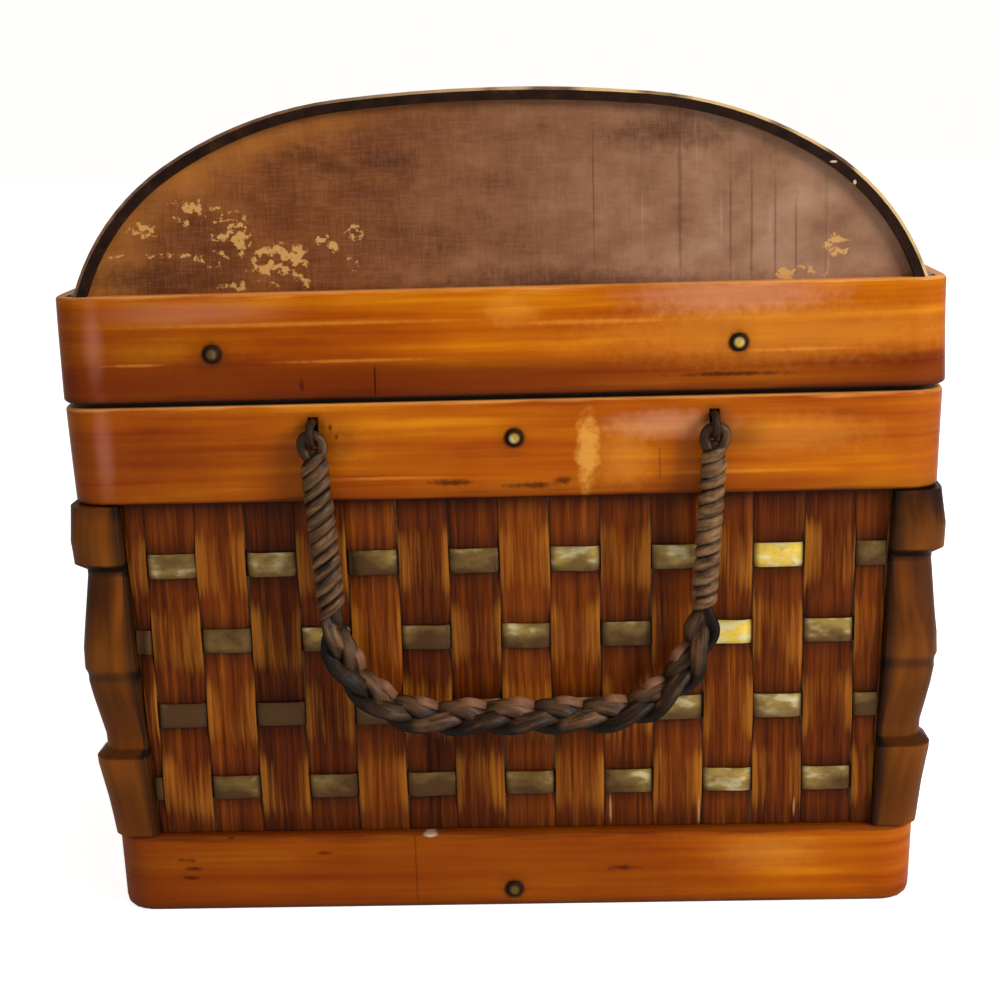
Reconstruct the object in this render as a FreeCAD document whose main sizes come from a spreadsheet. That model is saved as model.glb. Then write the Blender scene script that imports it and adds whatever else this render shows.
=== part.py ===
import FreeCAD, Part
import math
import os

import Sketcher
from FreeCAD import Placement, Rotation, Vector

# Dome-top trunk in millimetres: x along the trunk, y from front (-) to back (+), z up from the floor.
# A thin board box leans outward as it rises, two bent bands bind it, a weave covers it between them.
# The lid is a banded frame with two arched end panels that carry a bent sheet.

doc = FreeCAD.newDocument("dome_top_trunk")

# The driving sizes, one to a row of the sheet
SIZES = {
    "trunk_length": (430.0, "outside length of the lid band"),
    "trunk_width": (307.0, "outside width of the lid band"),
    "rim_step": (0.3, "rim band inside the lid band on each side"),
    "wall_taper": (7.8, "inward run of each wall from the rim to the floor"),
    "base_band_height": (30.0, "height of the band on the floor"),
    "weave_height": (125.0, "height of the woven wall between the bands"),
    "rim_band_height": (34.6, "height of the band below the seam"),
    "seam_gap": (1.6, "open seam between the rim band and the lid band"),
    "lid_band_height": (37.0, "height of the lid band"),
    "dome_rise": (66.3, "height of the dome above the lid band"),
    "dome_foot_inset": (8.4, "lid band face to the foot of the dome"),
    "band_thickness": (5.0, "thickness of the bands"),
    "board_thickness": (4.0, "thickness of the wall boards"),
    "bottom_thickness": (8.0, "thickness of the bottom board"),
    "rail_thickness": (9.0, "thickness of the long lid rails"),
    "panel_thickness": (6.0, "thickness of the arched end panels"),
    "sheet_thickness": (3.2, "thickness of the bent dome sheet"),
    "veneer_thickness": (1.0, "thickness of the veneer on the dome"),
    "dome_overhang": (3.3, "dome sheet past the face of the end panels"),
    "column_pitch": (17.8, "width of one splint and its gap, about"),
    "weave_shift": (6.6, "middle of the wall to the middle of the nearest splint"),
    "splint_gap": (1.2, "gap between two splints"),
    "splint_thickness": (1.3, "thickness of a splint"),
    "row_pitch": (28.0, "height from one brass strip to the next"),
    "row_drop": (2.5, "brass rows below the middle of the weave"),
    "brass_height": (9.0, "height of a brass strip"),
    "brass_thickness": (0.5, "thickness of a brass strip"),
    "post_width": (16.8, "width of a corner post on each wall, from the band face"),
    "handle_spacing": (138.0, "distance between the two thongs of a handle"),
    "handle_shift": (4.0, "handle off the middle of the end wall"),
    "handle_drop": (102.0, "handle pivot down to the middle of the bow"),
    "pivot_depth": (9.6, "top of the rim band down to the handle pivot"),
    "leg_taper": (4.5, "inward run of a handle leg over its length"),
    "bow_diameter": (13.0, "diameter of the bow"),
    "lace_diameter": (3.8, "diameter of the lace wound on the legs"),
    "leg_diameter": (10.8, "outside diameter of a laced leg"),
    "thong_diameter": (2.8, "diameter of the thong that holds a handle"),
    "hinge_length": (40.0, "length of a hinge"),
    "hinge_spacing": (240.0, "distance between the two hinges"),
    "leaf_height": (18.0, "height of a hinge leaf"),
    "leaf_thickness": (1.2, "thickness of a hinge leaf"),
    "pin_diameter": (2.4, "diameter of a hinge pin"),
    "nail_head_diameter": (6.4, "diameter of a nail head"),
    "nail_diameter": (2.0, "diameter of a nail shank"),
    "screw_diameter": (2.2, "diameter of a hinge screw"),
}

# Clearances of the fits
LANDING = 0.3
HOLE_CLEARANCE = 0.1
PIN_CLEARANCE = 0.05
WEAVE_CLEARANCE = 0.05
TURNING_CLEARANCE = 0.35
HANDLE_CLEARANCE = 0.9
SEAT = 0.02
LACE_GAP = 0.6

# Shape of the bands, as shares of their thickness
CORNER_SHARE = 2.5
EDGE_SHARE = 0.26

# Shape of the handle, as shares of its drop
LEG_SHARE = 0.62
BOW_CORNER_SHARE = 0.353

# Shape of the dome, as shares of its half span and angles from the crown
CROWN_RADIUS_SHARE = 3.6
SHOULDER_RADIUS_SHARE = 0.94
CROWN_ANGLE = math.radians(5.7)
SHOULDER_ANGLE = math.radians(32.5)

sheet = doc.addObject("Spreadsheet::Sheet", "sizes")
for row, (alias, (number, meaning)) in enumerate(SIZES.items(), start=1):
    sheet.set(f"A{row}", str(number))
    sheet.setAlias(f"A{row}", alias)
    sheet.set(f"B{row}", meaning)
doc.recompute()

derived = doc.addObject("App::VarSet", "derived")


def derive(name, expression):
    """Name a size that follows from the sheet, and return how to refer to it."""
    derived.addProperty("App::PropertyFloat", name)
    derived.setExpression(name, expression)
    derived.recompute()
    return "derived." + name


def value(expression):
    """The number that an expression gives now."""
    return float(sheet.evalExpression(expression))


# Heights above the floor
RIM_BOTTOM = derive("rim_bottom", "sizes.base_band_height + sizes.weave_height")
RIM_TOP = derive("rim_top", "sizes.base_band_height + sizes.weave_height + sizes.rim_band_height")
LID_BOTTOM = derive("lid_bottom", f"{RIM_TOP} + sizes.seam_gap")
LID_TOP = derive("lid_top", f"{LID_BOTTOM} + sizes.lid_band_height")
BOARD_TOP = derive("board_top", f"{LID_BOTTOM} - {LANDING}")
PIVOT_HEIGHT = derive("pivot_height", f"{RIM_TOP} - sizes.pivot_depth")

# The body widens by the slope for each millimetre that it rises, on every side
SLOPE = derive("slope", f"sizes.wall_taper / {RIM_TOP}")
BASE_HALF = derive("base_half_width", "sizes.trunk_width / 2 - sizes.rim_step - sizes.wall_taper")
END_EXTRA = derive("end_extra", "(sizes.trunk_length - sizes.trunk_width) / 2")
BAND = "sizes.band_thickness"
BAND_AND_BOARD = derive("band_and_board", "sizes.band_thickness + sizes.board_thickness")
CORNER_RADIUS = derive("corner_radius", f"{CORNER_SHARE} * sizes.band_thickness")
EDGE_RADIUS = derive("edge_radius", f"{EDGE_SHARE} * sizes.band_thickness")
STANDOFF = derive("handle_standoff", f"sizes.leg_diameter / 2 + {HANDLE_CLEARANCE}")
LEG_LENGTH = derive("leg_length", f"{LEG_SHARE} * sizes.handle_drop")


def half_width(height):
    """Outside half width of the banded body at a height, as an expression."""
    return f"({BASE_HALF} + ({height}) * {SLOPE})"


def half_length(height):
    """Outside half length of the banded body at a height, as an expression."""
    return f"({half_width(height)} + {END_EXTRA})"


NODES = {}


def keep(node, feature):
    """Hand an object in as one node."""
    feature.Label = node
    NODES[node] = feature
    return feature


# Helpers for sketches and bodies
class Drawing:
    """A sketch on an origin plane of a body; every place in it is given by expressions."""

    def __init__(self, body, name, role, height="0"):
        self.sketch = body.newObject("Sketcher::SketchObject", name)
        plane = next(f for f in body.Origin.OriginFeatures if f.Role == role)
        self.sketch.AttachmentSupport = (plane, [""])
        self.sketch.MapMode = "FlatFace"
        self.sketch.setExpression("AttachmentOffset.Base.z", height)
        self.elements = []
        self.constraints = []
        self.expressions = []

    def hold(self, kind, place, expression):
        """Hold one size of the last element at an expression."""
        number = value(expression)
        self.constraints.append(Sketcher.Constraint(kind, *place, number))
        self.expressions.append(expression)

    def pin(self, end, point):
        """Hold one end of the last element at a point."""
        last = len(self.elements) - 1
        self.hold("DistanceX", (-1, 1, last, end), point[0])
        self.hold("DistanceY", (-1, 1, last, end), point[1])

    def line(self, start, end):
        """A straight edge."""
        ends = [Vector(value(x), value(y)) for x, y in (start, end)]
        self.elements.append(Part.LineSegment(*ends))
        self.pin(1, start)
        self.pin(2, end)

    def arc(self, centre, radius, start, end):
        """An arc that turns left from start to end."""
        c = Vector(value(centre[0]), value(centre[1]))
        angles = [math.atan2(value(y) - c.y, value(x) - c.x) for x, y in (start, end)]
        circle = Part.Circle(c, Vector(0, 0, 1), value(radius))
        self.elements.append(Part.ArcOfCircle(circle, *angles))
        self.pin(1, start)
        self.pin(2, end)
        self.hold("Radius", (len(self.elements) - 1,), radius)

    def outline(self, corners):
        """A closed outline with square corners, turning left; a third entry rounds a corner."""
        entries = []
        exits = []
        for i, (x, y, *radius) in enumerate(corners):
            ends = [(x, y), (x, y)]
            if radius:
                neighbours = (corners[i - 1], corners[(i + 1) % len(corners)])
                ends = [step_towards((x, y), other, radius[0]) for other in neighbours]
                arrives_upright = ends[0][0] == x
                across, level = (ends[1], ends[0]) if arrives_upright else (ends[0], ends[1])
                self.arc((across[0], level[1]), radius[0], *ends)
            entries.append(ends[0])
            exits.append(ends[1])
        for i, start in enumerate(exits):
            self.line(start, entries[(i + 1) % len(entries)])

    def done(self):
        """Write the elements and their sizes into the sketch."""
        self.sketch.addGeometry(self.elements)
        self.sketch.addConstraint(self.constraints)
        for row, expression in enumerate(self.expressions):
            self.sketch.setExpression(f"Constraints[{row}]", expression)
        return self.sketch


def step_towards(corner, other, step):
    """The point one step from a corner towards a neighbour that lies square to it."""
    x, y = corner
    dx = value(other[0]) - value(x)
    dy = value(other[1]) - value(y)
    if abs(dx) > abs(dy):
        return f"{x} + {int(math.copysign(1, dx))} * {step}", y
    return x, f"{y} + {int(math.copysign(1, dy))} * {step}"


def rectangle(x0, x1, y0, y1, radius=None):
    """Corners of a rectangle in left-turning order."""
    corners = [(x0, y0), (x1, y0), (x1, y1), (x0, y1)]
    if radius is None:
        return corners
    return [corner + (radius,) for corner in corners]


def add_body(name):
    """An empty body."""
    return doc.addObject("PartDesign::Body", name)


def add_loft(body, kind, name, levels):
    """A straight-ruled loft through outlines, each given as a height and its corners."""
    sketches = []
    for i, (height, corners) in enumerate(levels):
        drawing = Drawing(body, f"{name}_{i}", "XY_Plane", height)
        drawing.outline(corners)
        sketches.append(drawing.done())
    loft = body.newObject(f"PartDesign::{kind}", name)
    loft.Profile = sketches[0]
    loft.Sections = sketches[1:]
    loft.Ruled = True
    return loft


def add_pad(body, name, sketch, length, symmetric=False):
    """A pad of a sketch by an expression."""
    pad = body.newObject("PartDesign::Pad", name)
    pad.Profile = sketch
    pad.SideType = "Symmetric" if symmetric else "One side"
    pad.setExpression("Length", length)
    return pad


def cut(name, base, tool):
    """One object less another."""
    result = doc.addObject("Part::Cut", name)
    result.Base = base
    result.Tool = tool
    return result


def mirror(node, source, normal):
    """A mirror image of an object across a plane through the middle."""
    image = doc.addObject("Part::Mirroring", node)
    image.Source = source
    image.Normal = normal
    return keep(node, image)


def coded(name, shape):
    """An object whose shape comes from code."""
    feature = doc.addObject("Part::Feature", name)
    feature.Shape = shape
    return feature


# Places on the four walls: x along the wall, y up it, z out of it
WALLS = {
    "right": (Vector(0, 1, 0), Vector(1, 0, 0)),
    "left": (Vector(0, -1, 0), Vector(-1, 0, 0)),
    "front": (Vector(1, 0, 0), Vector(0, -1, 0)),
    "back": (Vector(-1, 0, 0), Vector(0, 1, 0)),
}


def wall_place(wall, along, height, lid=False, depth=0.0):
    """Placement on the band face of a wall, or at a depth behind it."""
    run, out = WALLS[wall]
    slope = 0.0 if lid else value(SLOPE)
    if lid:
        half = value("sizes.trunk_width") / 2
        half += value(END_EXTRA) if wall in ("left", "right") else 0.0
    else:
        half = value((half_length if wall in ("left", "right") else half_width)(str(height)))
    normal = (out - Vector(0, 0, slope)).normalize()
    up = normal.cross(run)
    base = run * along + out * half + Vector(0, 0, height) - normal * depth
    return Placement(base, Rotation(run, up, normal, "ZXY"))


# Board box: a bottom and four walls that all lean outward together
def board_x(height):
    """Half length over the wall boards at a height."""
    return f"({half_length(height)} - {BAND})"


def board_y(height):
    """Half width over the wall boards at a height."""
    return f"({half_width(height)} - {BAND})"


def cavity_x(height):
    """Half length inside the wall boards at a height."""
    return f"({board_x(height)} - sizes.board_thickness)"


def cavity_y(height):
    """Half width inside the wall boards at a height."""
    return f"({board_y(height)} - sizes.board_thickness)"


TRIM = 20.0


def leaning_board(name, plane, near, far, run, top):
    """A board with a leaning section, padded both ways and trimmed to leaning ends.

    near and far give the section's two sides at a height, run gives the board's half length there."""
    body = add_body(name)
    section = Drawing(body, f"{name}_section", plane)
    corners = [(near("0"), "0"), (far("0"), "0"), (far(top), top), (near(top), top)]
    section.outline(corners)
    add_pad(body, f"{name}_pad", section.done(), f"2 * {run(top)}", symmetric=True)
    side_plane = "XZ_Plane" if plane == "YZ_Plane" else "YZ_Plane"
    ends = Drawing(body, f"{name}_ends", side_plane)
    beyond = f"({run(top)} + {TRIM})"
    for sign in ("", "-"):
        ends.outline([(f"{sign}{run('0')}", "0"), (f"{sign}{beyond}", "0"),
                      (f"{sign}{beyond}", top), (f"{sign}{run(top)}", top)])
    trim = body.newObject("PartDesign::Pocket", f"{name}_trim")
    trim.Profile = ends.done()
    trim.SideType = "Symmetric"
    trim.setExpression("Length", f"4 * {half_length(top)}")
    return body


def minus(size):
    """The same size on the other side of the middle."""
    return lambda height: f"-{size(height)}"


boards = {
    "front": leaning_board(
        "front_board_blank", "YZ_Plane", minus(board_y), minus(cavity_y), board_x, BOARD_TOP),
    "back": leaning_board("back_board_blank", "YZ_Plane", cavity_y, board_y, board_x, BOARD_TOP),
    "right": leaning_board("right_board_blank", "XZ_Plane", cavity_x, board_x, cavity_y, BOARD_TOP),
    "left": leaning_board(
        "left_board_blank", "XZ_Plane", minus(board_x), minus(cavity_x), cavity_y, BOARD_TOP),
}
keep("bottom_board", leaning_board(
    "bottom_board", "YZ_Plane", minus(cavity_y), cavity_y, cavity_x, "sizes.bottom_thickness"))


# Bands: rounded outside, kerfed square inside, so that they bend sharply round the boards
def band(name, bottom, height, x, y, leans):
    """A band that stands on a height, given its half sizes there; a leaning one widens as it rises."""
    body = add_body(f"{name}_blank")
    drawing = Drawing(body, f"{name}_outline", "XY_Plane", bottom)
    drawing.outline(rectangle(f"-{x}", x, f"-{y}", y, CORNER_RADIUS))
    drawing.outline(rectangle(f"-({x} - {BAND})", f"({x} - {BAND})", f"-({y} - {BAND})", f"({y} - {BAND})"))
    ring = add_pad(body, f"{name}_pad", drawing.done(), height)
    doc.recompute()
    if leans:
        ring = lean_faces(body, ring, f"{name}_lean_outside", False, value(x), value(y))
        ring = lean_faces(body, ring, f"{name}_lean_inside", True, value(x), value(y))
    rounding = body.newObject("PartDesign::Fillet", f"{name}_edges")
    rounding.Base = (ring, outer_rim_edges(ring.Shape, value(x), value(y), leans))
    rounding.setExpression("Radius", EDGE_RADIUS)
    return body


def lean_faces(body, ring, name, inside, x, y):
    """Lean the inner or the outer faces of a band outward by the slope of the walls."""
    chosen = []
    for i, face in enumerate(ring.Shape.Faces, start=1):
        centre = face.CenterOfMass
        flat = isinstance(face.Surface, Part.Plane)
        if flat and abs(face.normalAt(0, 0).z) > 0.5:
            if abs(centre.z - ring.Shape.BoundBox.ZMin) < 0.01:
                floor = f"Face{i}"
            continue
        reach = max(abs(centre.x) - x, abs(centre.y) - y)
        is_inner = flat and reach < -value(BAND) / 2
        if is_inner == inside:
            chosen.append(f"Face{i}")
    lean = body.newObject("PartDesign::Draft", name)
    lean.Base = (ring, chosen)
    lean.NeutralPlane = (ring, [floor])
    lean.Reversed = not inside
    lean.setExpression("Angle", f"atan({SLOPE})")
    doc.recompute()
    return lean


def outer_rim_edges(shape, x, y, leans):
    """Names of the outer edges round the top and the bottom of a band."""
    box = shape.BoundBox
    names = []
    for i, edge in enumerate(shape.Edges, start=1):
        heights = [v.Z for v in edge.Vertexes]
        rim = next((z for z in (box.ZMin, box.ZMax) if all(abs(h - z) < 0.01 for h in heights)), None)
        if rim is None:
            continue
        grown = value(SLOPE) * (rim - box.ZMin) if leans else 0.0
        inset = grown - value(BAND) + 0.1
        if any(abs(v.X) > x + inset or abs(v.Y) > y + inset for v in edge.Vertexes):
            names.append(f"Edge{i}")
    return names


base_band = band("base_band", "0", "sizes.base_band_height", half_length("0"), half_width("0"), True)
rim_band = band(
    "rim_band", RIM_BOTTOM, "sizes.rim_band_height", half_length(RIM_BOTTOM), half_width(RIM_BOTTOM), True)
lid_band = band(
    "lid_band", LID_BOTTOM, "sizes.lid_band_height",
    "(sizes.trunk_length / 2)", "(sizes.trunk_width / 2)", False)
inside_x = f"(sizes.trunk_length / 2 - {BAND})"
inside_y = f"(sizes.trunk_width / 2 - {BAND})"

# Lid frame: two long rails, and arched end panels between them
rails = {}
for wall, side in (("front", -1), ("back", 1)):
    rail = doc.addObject("Part::Box", f"lid_{wall}_rail_blank")
    rail.setExpression("Length", f"sizes.trunk_length - 2 * {BAND}")
    rail.setExpression("Width", "sizes.rail_thickness")
    rail.setExpression("Height", "sizes.lid_band_height")
    rail.setExpression("Placement.Base.x", f"-{inside_x}")
    inner = f"({inside_y} - sizes.rail_thickness)"
    rail.setExpression("Placement.Base.y", inner if side > 0 else f"-{inside_y}")
    rail.setExpression("Placement.Base.z", LID_BOTTOM)
    rails[wall] = rail

# The dome's outline: a crown arc, two shoulder arcs and two flank arcs, each tangent to the next
SPAN = derive("dome_half_span", "sizes.trunk_width / 2 - sizes.dome_foot_inset")
CROWN_RADIUS = derive("crown_radius", f"{CROWN_RADIUS_SHARE} * {SPAN}")
SHOULDER_RADIUS = derive("shoulder_radius", f"{SHOULDER_RADIUS_SHARE} * {SPAN}")
CROWN_SIN, CROWN_COS = math.sin(CROWN_ANGLE), math.cos(CROWN_ANGLE)
SHOULDER_SIN, SHOULDER_COS = math.sin(SHOULDER_ANGLE), math.cos(SHOULDER_ANGLE)
CROWN_Z = derive("crown_centre_z", f"{LID_TOP} + sizes.dome_rise - {CROWN_RADIUS}")
SHOULDER_Y = derive("shoulder_centre_y", f"({CROWN_RADIUS} - {SHOULDER_RADIUS}) * {CROWN_SIN}")
SHOULDER_Z = derive(
    "shoulder_centre_z", f"{CROWN_Z} + ({CROWN_RADIUS} - {SHOULDER_RADIUS}) * {CROWN_COS}")
REACH_Y = derive("flank_reach_y", f"{SPAN} - {SHOULDER_Y} - {SHOULDER_RADIUS} * {SHOULDER_SIN}")
REACH_Z = derive("flank_reach_z", f"{LID_TOP} - {SHOULDER_Z} - {SHOULDER_RADIUS} * {SHOULDER_COS}")
FLANK_RADIUS = derive(
    "flank_radius",
    f"-({REACH_Y} ^ 2 + {REACH_Z} ^ 2) / 2 / ({REACH_Y} * {SHOULDER_SIN} + {REACH_Z} * {SHOULDER_COS})")
FLANK_Y = derive("flank_centre_y", f"{SHOULDER_Y} + ({SHOULDER_RADIUS} - {FLANK_RADIUS}) * {SHOULDER_SIN}")
FLANK_Z = derive("flank_centre_z", f"{SHOULDER_Z} + ({SHOULDER_RADIUS} - {FLANK_RADIUS}) * {SHOULDER_COS}")


class Arch:
    """The dome's outline at a depth below its outer face."""

    def __init__(self, name, depth):
        self.crown = derive(f"{name}_crown_radius", f"{CROWN_RADIUS} - ({depth})")
        self.shoulder = derive(f"{name}_shoulder_radius", f"{SHOULDER_RADIUS} - ({depth})")
        self.flank = derive(f"{name}_flank_radius", f"{FLANK_RADIUS} - ({depth})")
        self.crown_y = derive(f"{name}_crown_y", f"{self.crown} * {CROWN_SIN}")
        self.crown_z = derive(f"{name}_crown_z", f"{CROWN_Z} + {self.crown} * {CROWN_COS}")
        self.shoulder_y = derive(f"{name}_shoulder_y", f"{SHOULDER_Y} + {self.shoulder} * {SHOULDER_SIN}")
        self.shoulder_z = derive(f"{name}_shoulder_z", f"{SHOULDER_Z} + {self.shoulder} * {SHOULDER_COS}")
        self.foot_y = derive(
            f"{name}_foot_y", f"{FLANK_Y} + sqrt({self.flank} ^ 2 - ({LID_TOP} - {FLANK_Z}) ^ 2)")

    def draw(self, drawing):
        """Draw the five arcs, from the right foot over the crown to the left foot."""
        right_foot, left_foot = (self.foot_y, LID_TOP), (f"-{self.foot_y}", LID_TOP)
        right_shoulder = (self.shoulder_y, self.shoulder_z)
        left_shoulder = (f"-{self.shoulder_y}", self.shoulder_z)
        right_crown, left_crown = (self.crown_y, self.crown_z), (f"-{self.crown_y}", self.crown_z)
        drawing.arc((FLANK_Y, FLANK_Z), self.flank, right_foot, right_shoulder)
        drawing.arc((SHOULDER_Y, SHOULDER_Z), self.shoulder, right_shoulder, right_crown)
        drawing.arc(("0", CROWN_Z), self.crown, right_crown, left_crown)
        drawing.arc((f"-{SHOULDER_Y}", SHOULDER_Z), self.shoulder, left_crown, left_shoulder)
        drawing.arc((f"-{FLANK_Y}", FLANK_Z), self.flank, left_shoulder, left_foot)


outer_arch = Arch("veneer", "0")
sheet_arch = Arch("sheet", "sizes.veneer_thickness")
panel_arch = Arch("panel", "sizes.veneer_thickness + sizes.sheet_thickness")
PANEL_FACE = derive("panel_face", f"sizes.trunk_length / 2 - {BAND}")


def bent_sheet(name, outer, inner):
    """A bent sheet between two arches, as long as the lid and its overhangs."""
    body = add_body(name)
    drawing = Drawing(body, f"{name}_outline", "YZ_Plane")
    outer.draw(drawing)
    inner.draw(drawing)
    for sign in ("", "-"):
        drawing.line((f"{sign}{outer.foot_y}", LID_TOP), (f"{sign}{inner.foot_y}", LID_TOP))
    length = f"2 * ({PANEL_FACE} + sizes.dome_overhang)"
    add_pad(body, f"{name}_pad", drawing.done(), length, symmetric=True)
    return keep(name, body)


bent_sheet("dome_sheet", sheet_arch, panel_arch)
bent_sheet("dome_veneer", outer_arch, sheet_arch)


def end_panel(wall):
    """An arched board that fills one end of the lid."""
    body = add_body(f"lid_{wall}_end_panel_blank")
    start = f"{PANEL_FACE} - sizes.panel_thickness" if wall == "right" else f"-{PANEL_FACE}"
    drawing = Drawing(body, f"{wall}_panel_outline", "YZ_Plane", start)
    panel_arch.draw(drawing)
    neck = f"({inside_y} - sizes.rail_thickness)"
    path = [(f"-{panel_arch.foot_y}", LID_TOP), (f"-{neck}", LID_TOP), (f"-{neck}", LID_BOTTOM),
            (neck, LID_BOTTOM), (neck, LID_TOP), (panel_arch.foot_y, LID_TOP)]
    for start_point, end_point in zip(path, path[1:]):
        drawing.line(start_point, end_point)
    add_pad(body, f"{wall}_panel_pad", drawing.done(), "sizes.panel_thickness")
    return body


panels = {wall: end_panel(wall) for wall in ("right", "left")}

# Corner posts: a root stem with three swellings, cut to an angle that wraps the corner
# Each level gives the share of the weave's height and how far the post stands out of the band face
POST_LEVELS = (
    (0.0, 0.3), (0.12, 1.4), (0.23, 2.8), (0.25, 2.8), (0.272, -0.6), (0.31, -0.6), (0.43, 1.8), (0.52, 3.2),
    (0.58, 2.8), (0.66, 1.4), (0.73, 0.2), (0.79, -0.8), (0.81, -0.8), (0.832, 2.6), (0.9, 2.8), (1.0, 1.2),
)
POST_GAP = 0.2
POST_ROUNDING = 0.62


def post_outline(height, proud):
    """Angle section of the post at the front right corner."""
    inner_x = f"({half_length(height)} - {BAND})"
    inner_y = f"({half_width(height)} - {BAND})"
    outer_x = f"({half_length(height)} + {proud})"
    outer_y = f"({half_width(height)} + {proud})"
    edge_x = f"({half_length(height)} - sizes.post_width)"
    edge_y = f"({half_width(height)} - sizes.post_width)"
    return [(edge_x, f"-{outer_y}"), (outer_x, f"-{outer_y}", f"({POST_ROUNDING} * {CORNER_RADIUS})"),
            (outer_x, f"-{edge_y}"), (inner_x, f"-{edge_y}"), (inner_x, f"-{inner_y}"),
            (edge_x, f"-{inner_y}")]


post = add_body("corner_post_front_right")
post_levels = []
for share, proud in POST_LEVELS:
    height = f"(sizes.base_band_height + {POST_GAP} + {share} * (sizes.weave_height - {2 * POST_GAP}))"
    post_levels.append((height, post_outline(height, proud)))
add_loft(post, "AdditiveLoft", "post_loft", post_levels)
keep("corner_post_front_right", post)
mirror("corner_post_front_left", post, Vector(1, 0, 0))
back_post = mirror("corner_post_back_right", post, Vector(0, 1, 0))
mirror("corner_post_back_left", back_post, Vector(1, 0, 0))


# Weave: upright splints pass over and under brass strips, on the face of each wall board
LIFT_RUN = 1.0
LEAST_SPLINT = 1.5


def prism(first, second):
    """A solid between two flat outlines whose matching points are joined by straight edges."""
    count = len(first)
    faces = []
    for outline in (first, second):
        faces.append(Part.Face(Part.makePolygon(outline + outline[:1])))
    for i in range(count):
        j = (i + 1) % count
        loop = [first[i], first[j], second[j], second[i], first[i]]
        faces.append(Part.Face(Part.makePolygon(loop)))
    solid = Part.makeSolid(Part.makeShell(faces))
    if solid.Volume < 0:
        solid.reverse()
    return solid


def weave(wall):
    """The splints and the brass strips of one wall, as two lists of solids."""
    half = half_length if wall in ("front", "back") else half_width
    low = value("sizes.base_band_height") + POST_GAP
    high = value(RIM_BOTTOM) - POST_GAP
    steep = math.hypot(1.0, value(SLOPE))
    depth = value(BAND) / steep - SEAT
    base = wall_place(wall, 0.0, low, depth=depth)
    shift = value(SLOPE) * depth
    side_gap = value("sizes.post_width") + 2 * POST_GAP
    splint = value("sizes.splint_thickness")
    brass = value("sizes.brass_thickness")
    brass_half = value("sizes.brass_height") / 2
    gap_half = value("sizes.splint_gap") / 2
    middle = (low + high) / 2 - value("sizes.row_drop")
    room = high - low - 2 * (brass_half + LIFT_RUN + value("sizes.row_drop"))
    rows = 1 + int(room / value("sizes.row_pitch"))
    row_heights = [middle + (i - (rows - 1) / 2) * value("sizes.row_pitch") for i in range(rows)]
    pitch = value("sizes.column_pitch")
    middle_splint = value("sizes.weave_shift")

    def reach_to_post(height):
        """Distance from the middle of the wall to a corner post at a height."""
        return value(half(str(height))) - side_gap

    usable = reach_to_post(low) - LEAST_SPLINT * 2 * gap_half
    before = int((usable + middle_splint) / pitch + 0.5)
    after = int((usable - middle_splint) / pitch + 0.5)
    columns = before + 1 + after

    def edge(column, height):
        """Place along the wall of the left edge of a column at a height: the end ones follow the posts."""
        if column == 0:
            return -reach_to_post(height)
        if column == columns:
            return reach_to_post(height)
        return middle_splint + (column - before - 0.5) * pitch

    def up(height):
        """Distance up the leaning face from the foot of the weave."""
        return (height - low) * steep

    def over(row, column):
        """Whether the brass of a row passes over a column."""
        return (row + column - before) % 2 == 0

    slack = gap_half - WEAVE_CLEARANCE
    splints = []
    for column in range(columns):
        levels = [(low, 0.0)]
        for row, height in enumerate(row_heights):
            lift = 0.0 if over(row, column) else brass + WEAVE_CLEARANCE
            reach = brass_half + LIFT_RUN
            levels += [(height - reach, lift), (height + reach, lift)]
        levels.append((high, 0.0))
        outlines = []
        for side, inward in ((0, gap_half), (1, -gap_half)):
            front = [(edge(column + side, z) + inward, up(z), lift + splint) for z, lift in levels]
            rear = [(edge(column + side, z) + inward, up(z), lift) for z, lift in levels]
            outlines.append([Vector(*p) for p in rear + front[::-1]])
        splints.append(prism(*outlines))
    strips = []
    for row, height in enumerate(row_heights):
        profile = []
        for column in range(columns):
            level = splint + WEAVE_CLEARANCE if over(row, column) else 0.0
            profile.append((edge(column, height - brass_half) + slack, level))
            profile.append((edge(column + 1, height - brass_half) - slack, level))
        outlines = []
        for z in (height - brass_half, height + brass_half):
            rear = [Vector(x, up(z), n) for x, n in profile]
            front = [Vector(x, up(z), n + brass) for x, n in profile]
            outlines.append(rear + front[::-1])
        strips.append(prism(*outlines))
    place = base.multiply(Placement(Vector(0, -shift, 0), Rotation()))
    for solid in splints + strips:
        solid.Placement = place
    return splints, strips


for wall in WALLS:
    splints, strips = weave(wall)
    keep(f"{wall}_splints", coded(f"{wall}_splints", Part.makeCompound(splints)))
    keep(f"{wall}_brass_strips", coded(f"{wall}_brass_strips", Part.makeCompound(strips)))


# Fasteners: one round-headed nail and one hinge screw, each used many times
def dome_headed(name, head_diameter, head_rise, shank_diameter, shank_length):
    """A round head on a straight shank, the head's flat on the ground plane."""
    rise = f"({head_rise})"
    radius = f"((({head_diameter}) / 2) ^ 2 + {rise} ^ 2) / 2 / {rise}"
    head = doc.addObject("Part::Sphere", f"{name}_head")
    head.setExpression("Radius", radius)
    head.setExpression("Angle1", f"asin(1 - {rise} / ({radius}))")
    head.setExpression("Placement.Base.z", f"{rise} - {radius}")
    shank = doc.addObject("Part::Cylinder", f"{name}_shank")
    shank.setExpression("Radius", f"{shank_diameter} / 2")
    shank.setExpression("Height", shank_length)
    shank.setExpression("Placement.Base.z", f"-({shank_length})")
    whole = doc.addObject("Part::Fuse", name)
    whole.Base = head
    whole.Tool = shank
    whole.recompute(True)
    return whole


NAIL_HEAD_RISE = 0.24
NAIL_SHORT = 0.6
DRILL_AHEAD = 2.0
nail_length = f"{BAND_AND_BOARD} - {NAIL_SHORT}"
nail = dome_headed(
    "nail", "sizes.nail_head_diameter", f"{NAIL_HEAD_RISE} * sizes.nail_head_diameter",
    "sizes.nail_diameter", nail_length)

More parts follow.
